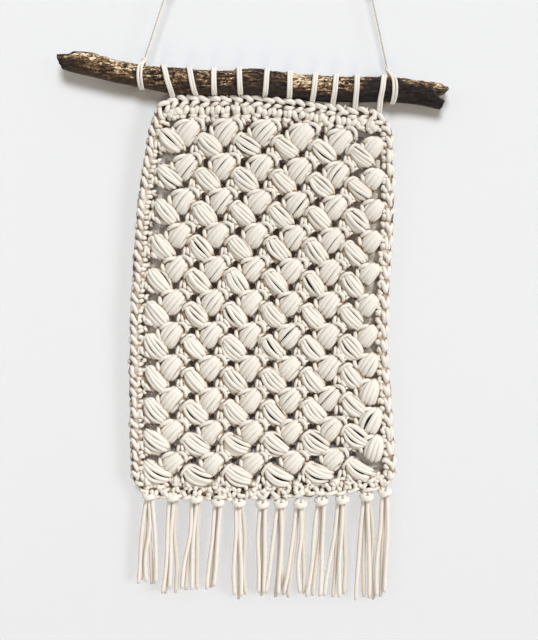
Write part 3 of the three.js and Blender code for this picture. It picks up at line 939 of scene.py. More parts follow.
def uneven_seats(strands):
    """The seats of a puff's strands on its arch, each a little off its place."""
    degrees, play = strands["seats"], strands["seat_play"]
    seat = np.radians(degrees)[None, :, None]
    return seat + np.radians(chance.uniform(-play, play, (puffs, len(degrees), 1)))


def uneven_widths(strands):
    """A width for every strand of the puffs of a kind."""
    count = puffs * len(strands["seats"])
    return YARN * strands["width"] * strand_chance.uniform(*strands["uneven"], (count, 1))


def centred(slits):
    """How far each strand is moved aside by the slits before it."""
    opening = np.cumsum(slits, axis=1)
    return opening - opening.mean(axis=1, keepdims=True)


def inner_strands(puff, dome, fan, big, centre, turn):
    """The strands behind each puff, and its core."""
    spread = np.linspace(-1, 1, BACK_STRANDS)[None, :, None]
    spread = spread + chance.uniform(-0.1, 0.1, (puffs, BACK_STRANDS, 1))
    back = on_panel(
        (ease * puff["back_half"] - puff["shift"]) * big,
        spread * puff["back_spread"] * fan * big,
        -(0.4 + 2.6 * dome * (1 - 0.25 * spread**2)),
        centre,
        turn,
    )
    core_seat = np.zeros((puffs, 1, 1))
    core_along = (ease * puff["core_half"] - puff["shift"]) * big
    core = on_panel(core_along, core_seat, puff["core_depth"] * dome * big, centre, turn)
    lead = sideways(core_seat, turn)
    return [
        wind(back, YARN, BACK_THICKNESS, sideways(np.zeros(spread.shape), turn)),
        wind(core, CORE["width"], CORE["thickness"], lead, sides=HIDDEN_SIDES["core"]),
    ]


# Puffs that lean to the right: five strands side by side, round at the foot and spread at the
# head, where a loop collars them. Some are parted by a slit, and the last of a row is pointed.
centre, turn = puff_places(RIGHT_PUFF)
first_column = puff_column == 0
last_column = puff_column == COLUMNS - 1
lie = {name: read(RIGHT_LIE, name, puff_row) for name in RIGHT_LIE[0]}
turn = turn + np.radians(np.where(last_column, lie["edge_turn"], lie["turn"]))
size = np.where(last_column, lie["edge_size"], lie["size"])
centre[:, 1] += last_column * lie["edge_lift"]
big = size[:, None, None]
seat = uneven_seats(RIGHT_STRANDS)
lift = chance.uniform(*RIGHT_STRANDS["lift"], seat.shape)
bow = chance.uniform(*RIGHT_STRANDS["bow"], (puffs, 1, 1))
slip = chance.uniform(*RIGHT_STRANDS["slip"], seat.shape)
opening = centred(3.2 * np.maximum(0, lift - 0.1))  # a strand that rises leaves a slit
pointed = (last_column * lie["edge_point"])[:, None, None]
fan = 1.04 - 0.08 * ease - 0.12 * ease**2 - 0.42 * pointed * to_head  # spread along a puff
rounding = np.where(ease < 0, 3.2, 1.4) * np.sin(seat) ** 2  # the outer strands are shorter
dome = np.where(ease < 0, (1 - np.abs(ease) ** 2) ** 0.75, (1 - np.abs(ease) ** 3.4) ** 0.6)
along = (ease * (RIGHT_PUFF["half"] - rounding) - RIGHT_PUFF["shift"] + slip) * big
aside = (np.sin(seat) * RIGHT_PUFF["spread"] * fan + (bow + opening) * (1 - ease**2)) * big
depth = STRAND_FOOT + (RIGHT_PUFF["height"] + lift) * dome * np.cos(seat) ** ARCH
strand_width = uneven_widths(RIGHT_STRANDS)
strand_thickness = YARN * RIGHT_STRANDS["thickness"]
front = on_panel(along, aside, depth, centre, turn)
right_puffs = add_yarn(
    "right_puffs",
    [
        wind(front, strand_width, strand_thickness, sideways(seat, turn)),
        *inner_strands(RIGHT_PUFF, dome, fan, big, centre, turn),
    ],
)
right_set = (centre, size, puff_row)

# Puffs that lean to the left: six looser and uneven strands that cross a little, with a slit
# between some of them, two that lie deeper along the lower side, and two lobes at the head.
UNDER = {"aside": (-9.4, -12.0), "depth": (2.4, 0.8), "half": (11.0, 7.5)}
LOBES = (
    ((-5.5, 6.2, 3.4), (-9.8, 5.8, 4.2), (-12.0, 3.4, 3.6), (-11.6, 0.6, 3.0), (-8.5, 0.2, 2.0)),
    (
        (-7.5, -0.4, 4.2),
        (-11.6, -0.8, 4.8),
        (-13.6, -3.6, 3.8),
        (-12.6, -6.4, 2.8),
        (-9.0, -7.0, 1.6),
    ),
)
SLITS = (0.0, 0.6, 1.1, 1.9)  # one of these parts each strand from the one before
centre, turn = puff_places(LEFT_PUFF)
lie = {name: read(LEFT_LIE, name, puff_row) for name in LEFT_LIE[0]}
turn = turn + np.radians(lie["turn"])
size = lie["size"]
centre[:, 1] += last_column * lie["edge_lift"] + first_column * lie["first_lift"]
big = size[:, None, None]
seat = uneven_seats(LEFT_STRANDS)
lift = chance.uniform(*LEFT_STRANDS["lift"], seat.shape)
slip = chance.uniform(*LEFT_STRANDS["slip"], seat.shape)
opening = centred(chance.choice(SLITS, seat.shape))
bow = lie["bow"][:, None, None] + chance.uniform(*LEFT_STRANDS["bow"], (puffs, 1, 1))
dome = (1 - np.abs(ease) ** 4.6) ** 0.55  # full to both ends
fan = 1.04 - 0.5 * to_foot - 0.2 * to_head
along = (ease * (LEFT_PUFF["half"] - 2.6 * np.sin(seat) ** 2) + 0.5 * slip) * big
skew = strand_chance.uniform(*STRAND_SKEW, seat.shape)
aside = np.sin(seat + skew * ease) * LEFT_PUFF["spread"] * fan
aside = (aside + (opening - bow) * (1 - ease**2) + 0.6 * bow) * big
depth = STRAND_FOOT + (LEFT_PUFF["height"] + lift) * dome * np.cos(seat) ** ARCH
strand_width = uneven_widths(LEFT_STRANDS) * (1 - 0.2 * to_foot)
strand_thickness = strand_width * LEFT_STRANDS["thickness"]
under_aside, under_depth, under_half = (np.array(each)[None, :, None] for each in UNDER.values())
under_slip = slip[:, : under_aside.size]
under = on_panel(
    ease * under_half + under_slip,
    under_aside * (1 - 0.12 * ease**2),
    STRAND_FOOT + under_depth * dome,
    centre,
    turn,
)
under_lead = sideways(np.zeros(under_slip.shape), turn)
lobe_routes = np.stack([bend(points, PUFF_SAMPLES) for points in LOBES])
lobe_routes = lobe_routes[None] + chance.normal(0, 0.4, (puffs, len(LOBES), 1, 3))
lobes = on_panel(*np.moveaxis(lobe_routes, -1, 0), centre, turn)
front = on_panel(along, aside, depth, centre, turn)
left_puffs = add_yarn(
    "left_puffs",
    [
        wind(front, strand_width, strand_thickness, sideways(seat, turn)),
        wind(under, YARN * 0.85, YARN * 0.8, under_lead, sides=HIDDEN_SIDES["under"]),
        wind(lobes, YARN * 0.9, YARN * 0.9, FRONT, sides=HIDDEN_SIDES["under"]),
        *inner_strands(LEFT_PUFF, dome, fan, np.ones_like(big), centre, turn),
    ],
)
left_set = (centre, size, puff_row)
left_lean = turn - math.radians(LEFT_PUFF["slant"])

# The link stitches: collars, posts and small chains that close the puffs and tie each to the
# next around the gaps. Each row lists points as right, up and depth from a puff's centre, and
# the inner ones are left out beside the border.
LINK_SAMPLES = 9
LINK_INSET = 6.0  # the links keep this far inside the rim
LINK_PLAY = 0.35
LINK_THICKNESS = 0.9  # as a share of the width
LINK_TAPER = 0.8 + 0.2 * np.sin(np.linspace(0, np.pi, LINK_SAMPLES)) ** 0.7
RIGHT_LINKS = table(
    "width inner points",
    (
        4.0,
        True,
        ((0.6, 10.2, 2.0), (6.0, 10.4, 5.4), (10.4, 7.6, 6.8), (12.0, 3.0, 5.8), (10.6, -1.8, 2.0)),
    ),
    (4.2, False, ((-16.6, 4.6, 0.4), (-16.4, -1.4, 4.2), (-13.6, -8.0, 0.8))),
    (4.2, False, ((-16.4, 2.4, 0.4), (-12.2, 6.2, 5.0), (-6.4, 8.4, 5.6), (-0.6, 9.2, 2.0))),
    (3.4, False, ((-14.4, -3.0, 0.8), (-10.4, 2.4, 3.4), (-4.0, 6.8, 0.8))),
    (3.6, False, ((12.5, 12.0, 0.4), (17.5, 9.4, 2.6), (23.0, 6.6, 0.4))),
)
LEFT_LINKS = table(
    "width inner points",
    (3.6, False, ((-14.6, 2.0, 1.0), (-16.2, -4.4, 4.6), (-17.2, -11.2, 0.6))),
    (3.4, False, ((-12.6, 0.4, 1.4), (-12.4, -4.6, 5.8), (-10.2, -9.4, 1.2))),
    (3.6, False, ((-10.2, -3.2, 2.0), (-7.8, -8.4, 5.6), (-3.2, -12.4, 1.2))),
    (3.2, False, ((-11.8, -8.0, 0.0), (-9.0, -8.8, 4.8), (-6.2, -11.4, 0.6))),
    (3.4, False, ((11.4, -0.6, 1.0), (12.4, -6.6, 3.2), (14.2, -12.2, 0.4))),
    (2.6, True, ((-5.0, -8.5, 1.0), (-9.0, -11.0, 5.4), (-11.0, -15.0, 1.4))),
    (2.6, True, ((-1.5, -12.0, 0.8), (-5.5, -13.0, 5.2), (-7.5, -17.0, 1.2))),
    (2.4, True, ((-13.0, -10.5, 0.6), (-9.5, -12.5, 5.0), (-4.5, -11.5, 2.4))),
)
# The loops that gather the heads of the puffs that lean to the left, and turn with them
HEAD_LINKS = table(
    "width inner points",
    (
        3.0,
        True,
        ((-12.4, 0.2, 1.6), (-12.2, 4.6, 6.8), (-9.0, 8.6, 8.4), (-5.0, 10.8, 7.4), (-1.4, 11.2, 2.4)),
    ),
    (2.8, True, ((-15.4, 5.2, 1.0), (-13.4, 9.6, 6.0), (-8.6, 12.6, 2.4))),
)
# The stitches that fill the hollows between the last puffs and the lower border
FOOT_LINKS = table(
    "width inner points",
    (3.8, False, ((15.0, -3.0, 0.4), (16.5, -8.0, 3.4), (15.5, -14.0, 0.6))),
    (4.2, False, ((19.5, -2.0, 0.4), (19.0, -8.0, 3.6), (19.8, -15.0, 0.6))),
    (3.8, False, ((23.0, -6.0, 0.4), (22.0, -10.0, 3.4), (23.6, -15.5, 0.6))),
    (3.8, False, ((14.0, -9.0, 0.4), (18.0, -12.0, 3.8), (22.0, -9.5, 0.4))),
)


def wind_short(routes, widths):
    """Short strands of yarn that lie flat to the front, thinner at their ends."""
    routes = np.array(routes)
    chord = routes[:, -1] - routes[:, 0]
    lead = unit(np.cross(chord, FRONT))[:, None].repeat(LINK_SAMPLES, axis=1)
    width = np.array(widths)[:, None] * LINK_TAPER
    return wind(routes, width, width * LINK_THICKNESS, lead)


def link_puffs(links, centre, size, row, draw, edge, lean):
    """A set of link stitches at every puff."""
    routes = []
    widths = []
    low = read(LEVELS, "edge_left", row) + LINK_INSET
    high = read(LEVELS, "edge_right", row) - LINK_INSET
    for link in links:
        points = np.array(link["points"])
        moved = points[None] + draw.normal(0, LINK_PLAY, (len(centre), *points.shape))
        moved[..., :2] *= size[:, None, None]
        aside, up = moved[..., 0], moved[..., 1]
        turned_aside = aside * np.cos(lean) - up * np.sin(lean)
        moved[..., 1] = aside * np.sin(lean) + up * np.cos(lean)
        moved[..., 0] = turned_aside
        for nth, (each, middle, left, right) in enumerate(zip(moved, centre, low, high)):
            if nth % COLUMNS == edge and link["inner"]:
                continue
            route = bend(each, LINK_SAMPLES)
            x = np.clip(middle[0] + route[:, 0], left, right)
            routes.append(np.stack((x, -route[:, 2], middle[1] + route[:, 1]), -1))
            widths.append(link["width"])
    return wind_short(routes, widths)


head_chance = np.random.default_rng(5)  # the head loops have draws of their own
last_row = tuple(values[-COLUMNS:] for values in left_set)
wound = [
    link_puffs(RIGHT_LINKS, *right_set, chance, RIGHT_PUFF["edge"], 0.0),
    link_puffs(LEFT_LINKS, *left_set, chance, LEFT_PUFF["edge"], 0.0),
    link_puffs(FOOT_LINKS, *last_row, chance, LEFT_PUFF["edge"], 0.0),
    link_puffs(HEAD_LINKS, *left_set, head_chance, LEFT_PUFF["edge"], left_lean[:, None]),
]
link_stitches = add_yarn("link_stitches", wound)

# The border: rounds of double crochet along the panel's four sides. Each stitch shows the two
# legs of its chain along the rim and two short posts towards the field.
BORDER_SIDES = table(
    "side start stitches backwards uneven filling",
    ("top", 45, 22, False, 1.7, 0.5),
    ("left", 135, 37, True, 1.3, 1.8),
    ("bottom", 225, 23, False, 2.6, 0.6),
    ("right", 315, 25, False, 1.3, 1.4),
)
# The strands of one stitch on each side: shares of the pitch along the rim, then inward and depth
BORDER_STRANDS = {
    "top": table(
        "width points",
        (5.2, ((-0.66, 4.8, 1.6), (-0.25, 3.3, 5.0), (0.18, 1.4, 4.8), (0.64, 0.3, 1.0))),
        (4.8, ((-0.54, 5.8, 1.0), (-0.16, 7.2, 4.4), (0.15, 8.8, 4.4), (0.5, 10.4, 0.8))),
        (6.0, ((-0.36, 9.8, 0.8), (-0.28, 13.8, 4.8), (-0.08, 18.4, 0.8))),
        (5.8, ((0.3, 10.2, 0.8), (0.22, 14.4, 4.6), (0.06, 19.0, 0.8))),
        (5.0, ((-0.4, 17.6, 0.4), (0.0, 20.0, 3.6), (0.42, 18.4, 0.4))),
    ),
    "left": table(
        "width points",
        (4.2, ((-0.6, 8.2, 0.8), (-0.2, 6.0, 5.0), (0.2, 3.6, 4.6), (0.6, 1.6, 1.0))),
        (3.6, ((-0.35, 1.8, 0.4), (0.0, 1.7, 2.4), (0.35, 2.6, 0.4))),
        (4.4, ((-0.3, 7.8, 0.8), (-0.25, 10.6, 4.0), (-0.16, 13.6, 0.8))),
        (4.4, ((0.16, 8.2, 0.8), (0.22, 10.8, 4.0), (0.3, 13.8, 0.8))),
        (3.6, ((-0.1, 13.0, 0.4), (0.2, 15.4, 3.0), (0.5, 17.6, 0.4))),
        (3.4, ((0.4, 13.2, 0.4), (0.15, 15.6, 2.6), (-0.1, 18.2, 0.2))),
    ),
    "bottom": table(
        "width points",
        (4.2, ((-0.6, 2.4, 0.6), (-0.2, 1.9, 3.8), (0.3, 2.6, 3.8), (0.6, 4.4, 0.6))),
        (4.6, ((-0.02, 2.8, 0.8), (-0.16, 5.6, 4.8), (-0.34, 9.0, 0.8))),
        (4.6, ((0.06, 2.8, 0.8), (0.2, 5.8, 4.6), (0.38, 9.2, 0.8))),
        (4.4, ((-0.5, 8.0, 0.6), (-0.3, 10.4, 4.6), (-0.05, 12.6, 0.6))),
        (4.4, ((0.45, 8.4, 0.6), (0.25, 11.0, 4.4), (0.02, 13.4, 0.6))),
        (4.0, ((-0.3, 12.6, 0.4), (0.05, 14.6, 3.2), (0.35, 13.4, 0.4))),
    ),
    "right": table(
        "width points",
        (4.8, ((-0.52, 4.4, 0.8), (-0.15, 5.0, 4.9), (0.2, 6.6, 4.6), (0.52, 8.2, 1.0))),
        (4.4, ((-0.5, 4.0, 0.6), (-0.15, 3.2, 4.4), (0.2, 2.2, 3.8), (0.5, 1.5, 0.6))),
        (4.4, ((-0.48, 7.2, 0.4), (-0.32, 9.6, 4.2), (-0.14, 12.4, 0.4))),
        (4.2, ((-0.1, 7.4, 0.4), (-0.24, 10.0, 3.4), (-0.44, 12.4, 0.4))),
        (4.4, ((0.04, 8.2, 0.4), (0.2, 10.6, 4.2), (0.36, 13.0, 0.4))),
        (4.2, ((0.4, 8.4, 0.4), (0.26, 10.8, 3.4), (0.08, 13.0, 0.4))),
    ),
}
# Short stitches in the hollow between the upper border and the first puffs
UPPER_FILL = table(
    "width points",
    (4.6, ((-0.44, 18.6, 0.2), (-0.16, 22.4, 3.2), (0.08, 27.0, 0.2))),
    (4.4, ((0.46, 19.0, 0.2), (0.22, 23.4, 3.0), (0.02, 28.5, 0.2))),
)
UPPER_FILL_SKIPS = 3  # stitches left free at each corner
# Where a loop of the upper chain is drawn up to a small tip, and the tip's points from there
TIPS = (-71.0, -41.0, -15.0, 8.4, 30.0, 76.0, 97.6)
TIP = {"points": ((-3.6, -1.5, -3.4), (-1.2, -3.4, -0.2), (0.4, -2.4, 2.8)), "thickness": 2.4}
TIP_WIDTH = np.linspace(3.4, 1.4, LINK_SAMPLES)
# The rounds' own thickness, which shows as the dark between the strands
BORDER_FILLING = {"inward": 7.4, "width": 10.4, "thickness": 4.4}
BORDER_BACK = table(
    "width points",
    (4.2, ((-0.6, 3.2, -0.4), (0.0, 2.6, -3.0), (0.6, 3.2, -0.4))),
    (4.4, ((-0.3, 4.6, -0.8), (-0.24, 9.0, -3.2), (-0.3, 13.6, -0.8))),
    (4.4, ((0.22, 4.6, -0.8), (0.28, 9.0, -3.2), (0.22, 13.6, -0.8))),
)
BORDER_PLAY = np.array((0.06, 0.5, 0.4))  # unevenness along the rim, inward and in depth
CORNER_STEPS = 10
RIM_STEPS = 400


def along_line(at, reach, line):
    """Points of a line in x and z at some lengths along it."""
    return np.stack([np.interp(at, reach, line[:, k]) for k in (0, 1)], -1)


def rim_side(start):
    """The rim from the middle of one corner to the middle of the next, in x and z."""
    quarter = (start // 90 + 1) * 90
    flat = []
    for first, last in ((start, quarter), (quarter, start + 90)):
        turn = np.radians(np.linspace(first, last, CORNER_STEPS))
        corner = int(np.degrees(turn.mean())) // 90 % 4
        radius = CORNERS[corner]
        x = radius if corner in (1, 2) else flat_width - radius
        z = radius if corner in (2, 3) else flat_height - radius
        flat.append(np.stack((x + radius * np.cos(turn), z + radius * np.sin(turn)), -1))
    flat = np.concatenate(flat)
    reach = run_of(flat)
    flat = along_line(np.linspace(0, reach[-1], RIM_STEPS), reach, flat)
    row = EDGE_BOTTOM + (EDGE_TOP - EDGE_BOTTOM) * flat[:, 1] / flat_height
    return rim_point(flat[:, 0] / flat_width, row)


def border_strand(strand, stations, rim, inward, pitch, uneven, draw):
    """One strand of every stitch along a side, wound as yarn."""
    points = np.array(strand["points"])
    reach = run_of(rim)
    routes = []
    for station in stations:
        moved = points + draw.normal(0, uneven, points.shape) * BORDER_PLAY
        route = bend(moved, LINK_SAMPLES)
        at = np.clip(station + route[:, 0] * pitch, 0, reach[-1])
        spot = along_line(at, reach, rim) + along_line(at, reach, inward) * route[:, 1:2]
        routes.append(np.stack((spot[:, 0], -route[:, 2], spot[:, 1]), -1))
    return wind_short(routes, [strand["width"]] * len(routes))


fill_chance = np.random.default_rng(8)  # the filling stitches have draws of their own
wound = []
for border in BORDER_SIDES:
    rim = rim_side(border["start"])
    heading = unit(np.gradient(rim, axis=0))
    inward = np.stack((-heading[:, 1], heading[:, 0]), -1)
    if border["backwards"]:
        rim, inward = rim[::-1], inward[::-1]
    pitch = run_of(rim)[-1] / border["stitches"]
    stations = (np.arange(border["stitches"]) + 0.5) * pitch
    middle = rim + inward * BORDER_FILLING["inward"]
    filling = np.stack((middle[:, 0], np.full(len(rim), -border["filling"]), middle[:, 1]), -1)
    lead = np.stack((inward[:, 0], np.zeros(len(rim)), inward[:, 1]), -1)[None]
    wound.append(wind(filling[None], BORDER_FILLING["width"], BORDER_FILLING["thickness"], lead))
    works = [(strand, stations, chance) for strand in BORDER_STRANDS[border["side"]] + BORDER_BACK]
    if border["side"] == "top":
        between = stations[UPPER_FILL_SKIPS:-UPPER_FILL_SKIPS]
        works += [(strand, between, fill_chance) for strand in UPPER_FILL]
    for strand, places, draw in works:
        wound.append(border_strand(strand, places, rim, inward, pitch, border["uneven"], draw))
for x in TIPS:
    tip = bend(np.array((x, 0, rim_z(x, EDGE_TOP))) + np.array(TIP["points"]), LINK_SAMPLES)
    wound.append(wind(tip[None], TIP_WIDTH, TIP["thickness"], ACROSS))
border_stitches = add_yarn("border_stitches", wound)

# The hollows of the panel: where a yarn lies lower than those around it, less light comes in, and that
# shade is painted into its colour, darkened towards brown. A grid holds the highest yarn at each place.
HOLLOW_CELL = 1.5
HOLLOW_REACH = 2.1  # spread of the mean height, in cells
HOLLOW_TAPS = np.arange(-8, 9)
HOLLOW_MARGIN = 12
HOLLOW_DEPTH = 2.6  # this far under the mean a yarn is fully in the hollow
NO_YARN = -99.0


def mean_height(places, heights):
    """The mean height of the uppermost yarns around each place, from a blurred grid."""
    cells = np.floor((places - places.min(axis=0)) / HOLLOW_CELL).astype(int) + HOLLOW_MARGIN
    highest = np.full(cells.max(axis=0) + HOLLOW_MARGIN + 1, NO_YARN)
    np.maximum.at(highest, (cells[:, 0], cells[:, 1]), heights)
    present = (highest > NO_YARN).astype(float)
    summed = highest * present
    weights = np.exp(-((HOLLOW_TAPS / HOLLOW_REACH) ** 2) / 2)
    for axis in (0, 1):
        summed = sum(w * np.roll(summed, tap, axis) for tap, w in zip(HOLLOW_TAPS, weights))
        present = sum(w * np.roll(present, tap, axis) for tap, w in zip(HOLLOW_TAPS, weights))
    at = (cells[:, 0], cells[:, 1])
    return summed[at] / present[at]


def mark_painted_shade(pieces):
    """Gives each yarn of the pieces its share of painted shade in the hollows, on the front and on the
    back alike.
    """
    found = []
    for piece in pieces:
        places = np.empty(len(piece.data.vertices) * 3, np.float32)
        piece.data.vertices.foreach_get("co", places)
        found.append(places.reshape(-1, 3) / MM)
    places = np.concatenate(found).astype(float)
    painted_shade = np.zeros(len(places))
    for facing in (-1, 1):
        turned_here = places[:, 1] * facing > 0
        heights = places[turned_here, 1] * facing
        mean = mean_height(places[turned_here][:, (0, 2)], heights)
        painted_shade[turned_here] = np.clip((mean - heights) / HOLLOW_DEPTH, 0, 1)
    starts = np.cumsum([0] + [len(each) for each in found])
    for piece, start, end in zip(pieces, starts, starts[1:]):
        mark_points(piece, "painted_shade", painted_shade[start:end])


mark_painted_shade([ground, right_puffs, left_puffs, link_stitches, border_stitches])

# The lacing: one doubled yarn wound round the branch and drawn through the upper border at each
# turn, pressed flat where it lies on the wood.
LACING_YARN = 2.9
LACING_THICKNESS = 2.1
LACING_SPREAD = 1.25  # each of its two strands lies this far off the middle
LACING_INSET = 6.5
LACING_START = 9.0  # it comes from this far to the left of its first turn
LACING_STEPS = 640
TURNS = table(
    "top hole",
    (-106.5, -96.8),
    (-80.9, -73.2),
    (-55.5, -54.8),
    (-30.5, -28.7),
    (-1.9, -4.5),
    (20.5, 19.8),
    (46.5, 42.7),
    (67.0, 63.2),
    (87.5, 85.5),
    (114.8, 109.7),
)
# One turn: up behind the branch and over its front, by the angle from the top and the share of
# the way along, then through the border, as y and height from the hole
UP_BACK = ((230, 0.25), (261, 0.45), (294, 0.65), (327, 0.85))
OVER_FRONT = ((0, 0.0), (33, 0.15), (66, 0.35), (99, 0.55), (130, 0.8))
DIVE = ((-3.4, 6.8), (-1.6, 4.2), (-0.2, 1.8), (1.4, 0.4), (4.2, 0.2), (6.6, 1.1), (7.8, 3.2), (7.9, 5.6))


def beside_branch(x, degrees):
    """A point of the lacing beside the branch, at an angle from the top towards the front."""
    axis, radius = branch_at(np.array([x]))
    angle = math.radians(degrees)
    reach = radius[0] + ON_WOOD + LACING_THICKNESS / 2
    return (x, -reach * math.sin(angle), axis[0] + reach * math.cos(angle))


points = []
last = TURNS[0]["top"] - LACING_START
for winding in TURNS:
    top, hole = winding["top"], winding["hole"]
    points += [beside_branch(last + (top - last) * part, angle) for angle, part in UP_BACK]
    points += [beside_branch(top + (hole - top) * part, angle) for angle, part in OVER_FRONT]
    hole_z = rim_z(hole, EDGE_TOP) - LACING_INSET
    points += [(hole, y, hole_z + z) for y, z in DIVE]
    last = hole
points = np.array(points)
reach = run_of(points)
route = smooth_curve(reach, points, np.linspace(0, reach[-1], LACING_STEPS))
spread = np.array((-1, 1))[:, None, None] * LACING_SPREAD * ACROSS
lacing = wind(route + spread, LACING_YARN, LACING_THICKNESS, ACROSS, sides=10)
add_yarn("branch_lacing", [lacing], "lacing")

# The tassels: lengths of the same yarn folded in half and pulled through the lower border in a
# lark's head, so that a smooth band crosses each head and the cut ends hang free.
TASSEL_YARN = 3.9
TASSEL_SIDES = 10
TASSEL_STEPS = 29
TASSEL_WAVE = {"height": 0.7, "turns": 7.5, "by_strand": 1.9}
TASSEL_DEPTHS = (1.5, -1.6)  # of the strands in front, and of those behind
STRAND_SHADE = np.array((0.05, 0.16))  # the same
HEAD_SPREAD = 5.8  # width over which the strands leave the head
BAND_YARN = {"width": 5.8, "thickness": 3.8, "steps": 25}
FOLD_STEPS = 21
UP = np.array((0, 0, 1.0))
TASSELS = table(
    "x head end feet",
    (-120.0, -520.0, -606.0, (-131.5, -127.5, -123.0, -118.5, -113.5)),
    (-96.5, -521.5, -614.0, (-107.0, -103.5, -100.5, -94.5)),
    (-73.5, -523.0, -614.0, (-87.0, -83.5, -78.5, -72.5)),
    (-51.3, -526.3, -612.0, (-62.0, -59.5, -56.0)),
    (-30.8, -527.0, -621.0, (-34.8, -31.5, -28.0, -23.5)),
    (-7.1, -528.5, -617.0, (-11.5, -8.5, -5.0)),
    (11.1, -528.0, -618.0, (-4.5, 6.2, 9.0, 13.5)),
    (30.5, -528.2, -619.0, (14.0, 19.0, 30.0, 33.5)),
    (51.7, -525.5, -619.0, (37.5, 43.5, 49.5)),
    (72.5, -524.0, -621.0, (55.5, 63.0, 69.0, 75.0)),
    (97.0, -521.0, -622.0, (86.5, 93.5, 100.0, 104.5)),
    (115.3, -516.5, -618.0, (106.5, 110.5, 115.5)),
)
# The folds beside the band: offset from the middle on either side, y, and height from the head
FOLD = ((2.6, 3.0, -1.5), (2.8, 3.6, 2.0), (2.4, 0.0, 4.4), (2.6, -4.8, 2.2), (2.8, -3.6, -1.5))
fall_share = np.sin(np.linspace(0, np.pi / 2, TASSEL_STEPS))
tassels = []
for number, tassel in enumerate(TASSELS, start=1):
    middle_x = tassel["x"]
    head_z = tassel["head"]
    count = len(tassel["feet"])
    routes = []
    for k, foot in enumerate(tassel["feet"]):
        depth = TASSEL_DEPTHS[k % 2] + chance.uniform(-0.5, 0.5)
        end = tassel["end"] + chance.uniform(-3.5, 2.5)
        root = middle_x + (k / (count - 1) - 0.5) * HEAD_SPREAD
        bow = chance.uniform(-1.4, 1.4, 2)
        points = (
            (root * 0.7 + middle_x * 0.3, -depth * 0.6, head_z + 2.0),
            (root + 0.1 * (foot - root), -depth * 1.3, head_z - 6.0),
            (root + 0.38 * (foot - root) + bow[0], -depth, head_z + 0.36 * (end - head_z)),
            (root + 0.72 * (foot - root) + bow[1], -depth, head_z + 0.7 * (end - head_z)),
            (foot, -depth, end),
        )
        route = bend(points, TASSEL_STEPS)
        swing = np.linspace(0, TASSEL_WAVE["turns"], TASSEL_STEPS)
        swing = np.sin(swing + TASSEL_WAVE["by_strand"] * k + number)
        route[:, 0] += TASSEL_WAVE["height"] * swing * fall_share
        routes.append(route)
    strand_size = (TASSEL_YARN, TASSEL_YARN * 0.92)
    wound = [wind(routes, *strand_size, ACROSS, sides=TASSEL_SIDES, blunt=0.7)]
    half = 4.2 + 0.2 * count
    sag = chance.uniform(-0.6, 0.6)
    band = (
        (middle_x - half, 1.5, head_z + 2.6),
        (middle_x - half - 0.2, -4.0, head_z + 0.4),
        (middle_x - 0.4 * half, -7.0, head_z - 0.8 + sag),
        (middle_x + 0.4 * half, -7.0, head_z - 0.6 - sag),
        (middle_x + half + 0.2, -4.0, head_z + 0.4),
        (middle_x + half, 1.5, head_z + 2.6),
    )
    band_route = bend(band, BAND_YARN["steps"])[None]
    band_size = (BAND_YARN["width"], BAND_YARN["thickness"])
    wound.append(wind(band_route, *band_size, UP, sides=TASSEL_SIDES))
    for ear in (-1, 1):
        fold = [(middle_x + ear * offset, y, head_z + z) for offset, y, z in FOLD]
        fold_route = bend(fold, FOLD_STEPS)[None]
        fold_size = (TASSEL_YARN, BAND_YARN["thickness"])
        wound.append(wind(fold_route, *fold_size, ACROSS, sides=TASSEL_SIDES))
    made = add_yarn(f"fringe_tassel_{number:02d}", wound, f"tassel_{number:02d}")
    # Painted shade: the strands in front are darkened a little and those behind more, by STRAND_SHADE
    shade = np.zeros(len(made.data.vertices))
    hanging = len(wound[0][0])
    shade[:hanging] = np.repeat(STRAND_SHADE[np.arange(count) % 2], hanging // count)
    mark_points(made, "painted_shade", shade)
    tassels.append(made)

# The stage: a plain pale wall close behind and a pale floor well below. A sun from the upper
# right and two softer lights fall on all but the wall. The wall has suns of its own, tinted
# against its warm dark paint, so that it looks pale and the shadows on it stay warm.
WALL_DEPTH = 17.5
WALL_LEAN = 0.016  # the hanging lies nearer to the wall at its foot
WALL_TURN = 0.015  # and on its right
WALL_HALF = 3.0  # metres, for the floor too
FLOOR_DROP = -1150.0 * MM
STAGE_TONES = {"matt_wall_paint": "#453224", "matt_floor": "#e4e3e0"}
for name, tone in STAGE_TONES.items():
    paint, tree = new_material(name)
    matt = add_node(tree, "BsdfDiffuse", {"Color": linear(tone)})
    behind = add_node(tree, "NewGeometry")
    clear = add_node(tree, "BsdfTransparent")
    seen = add_node(
        tree,
        "MixShader",
        {0: behind.outputs["Backfacing"], 1: matt.outputs["BSDF"], 2: clear.outputs["BSDF"]},
    )
    add_node(tree, "OutputMaterial", {"Surface": seen.outputs["Shader"]})


def add_stage(name, corners, paint):
    """One flat sheet of the stage."""
    mesh = bpy.data.meshes.new(name)
    mesh.from_pydata(corners, [], [(0, 1, 2, 3)])
    mesh.materials.append(bpy.data.materials[paint])
    sheet = bpy.data.objects.new(name, mesh)
    bpy.context.scene.collection.objects.link(sheet)
    return sheet


branch_z = branch_at(np.zeros(1))[0][0] * MM
wall_foot = WALL_DEPTH * MM + WALL_LEAN * (FLOOR_DROP - branch_z)
wall_head = WALL_DEPTH * MM + WALL_LEAN * (WALL_HALF - branch_z)
wall = add_stage(
    "wall",
    [
        (-WALL_HALF, wall_foot + WALL_TURN * WALL_HALF, FLOOR_DROP),
        (WALL_HALF, wall_foot - WALL_TURN * WALL_HALF, FLOOR_DROP),
        (WALL_HALF, wall_head - WALL_TURN * WALL_HALF, WALL_HALF),
        (-WALL_HALF, wall_head + WALL_TURN * WALL_HALF, WALL_HALF),
    ],
    "matt_wall_paint",
)
wall.visible_shadow = False
floor_corners = ((-1, -1), (1, -1), (1, 1), (-1, 1))
floor = add_stage(
    "floor",
    [(x * WALL_HALF, y * WALL_HALF, FLOOR_DROP) for x, y in floor_corners],
    "matt_floor",
)
lit_alone = bpy.data.collections.new("wall_lit_alone")
lit_alone.objects.link(wall)


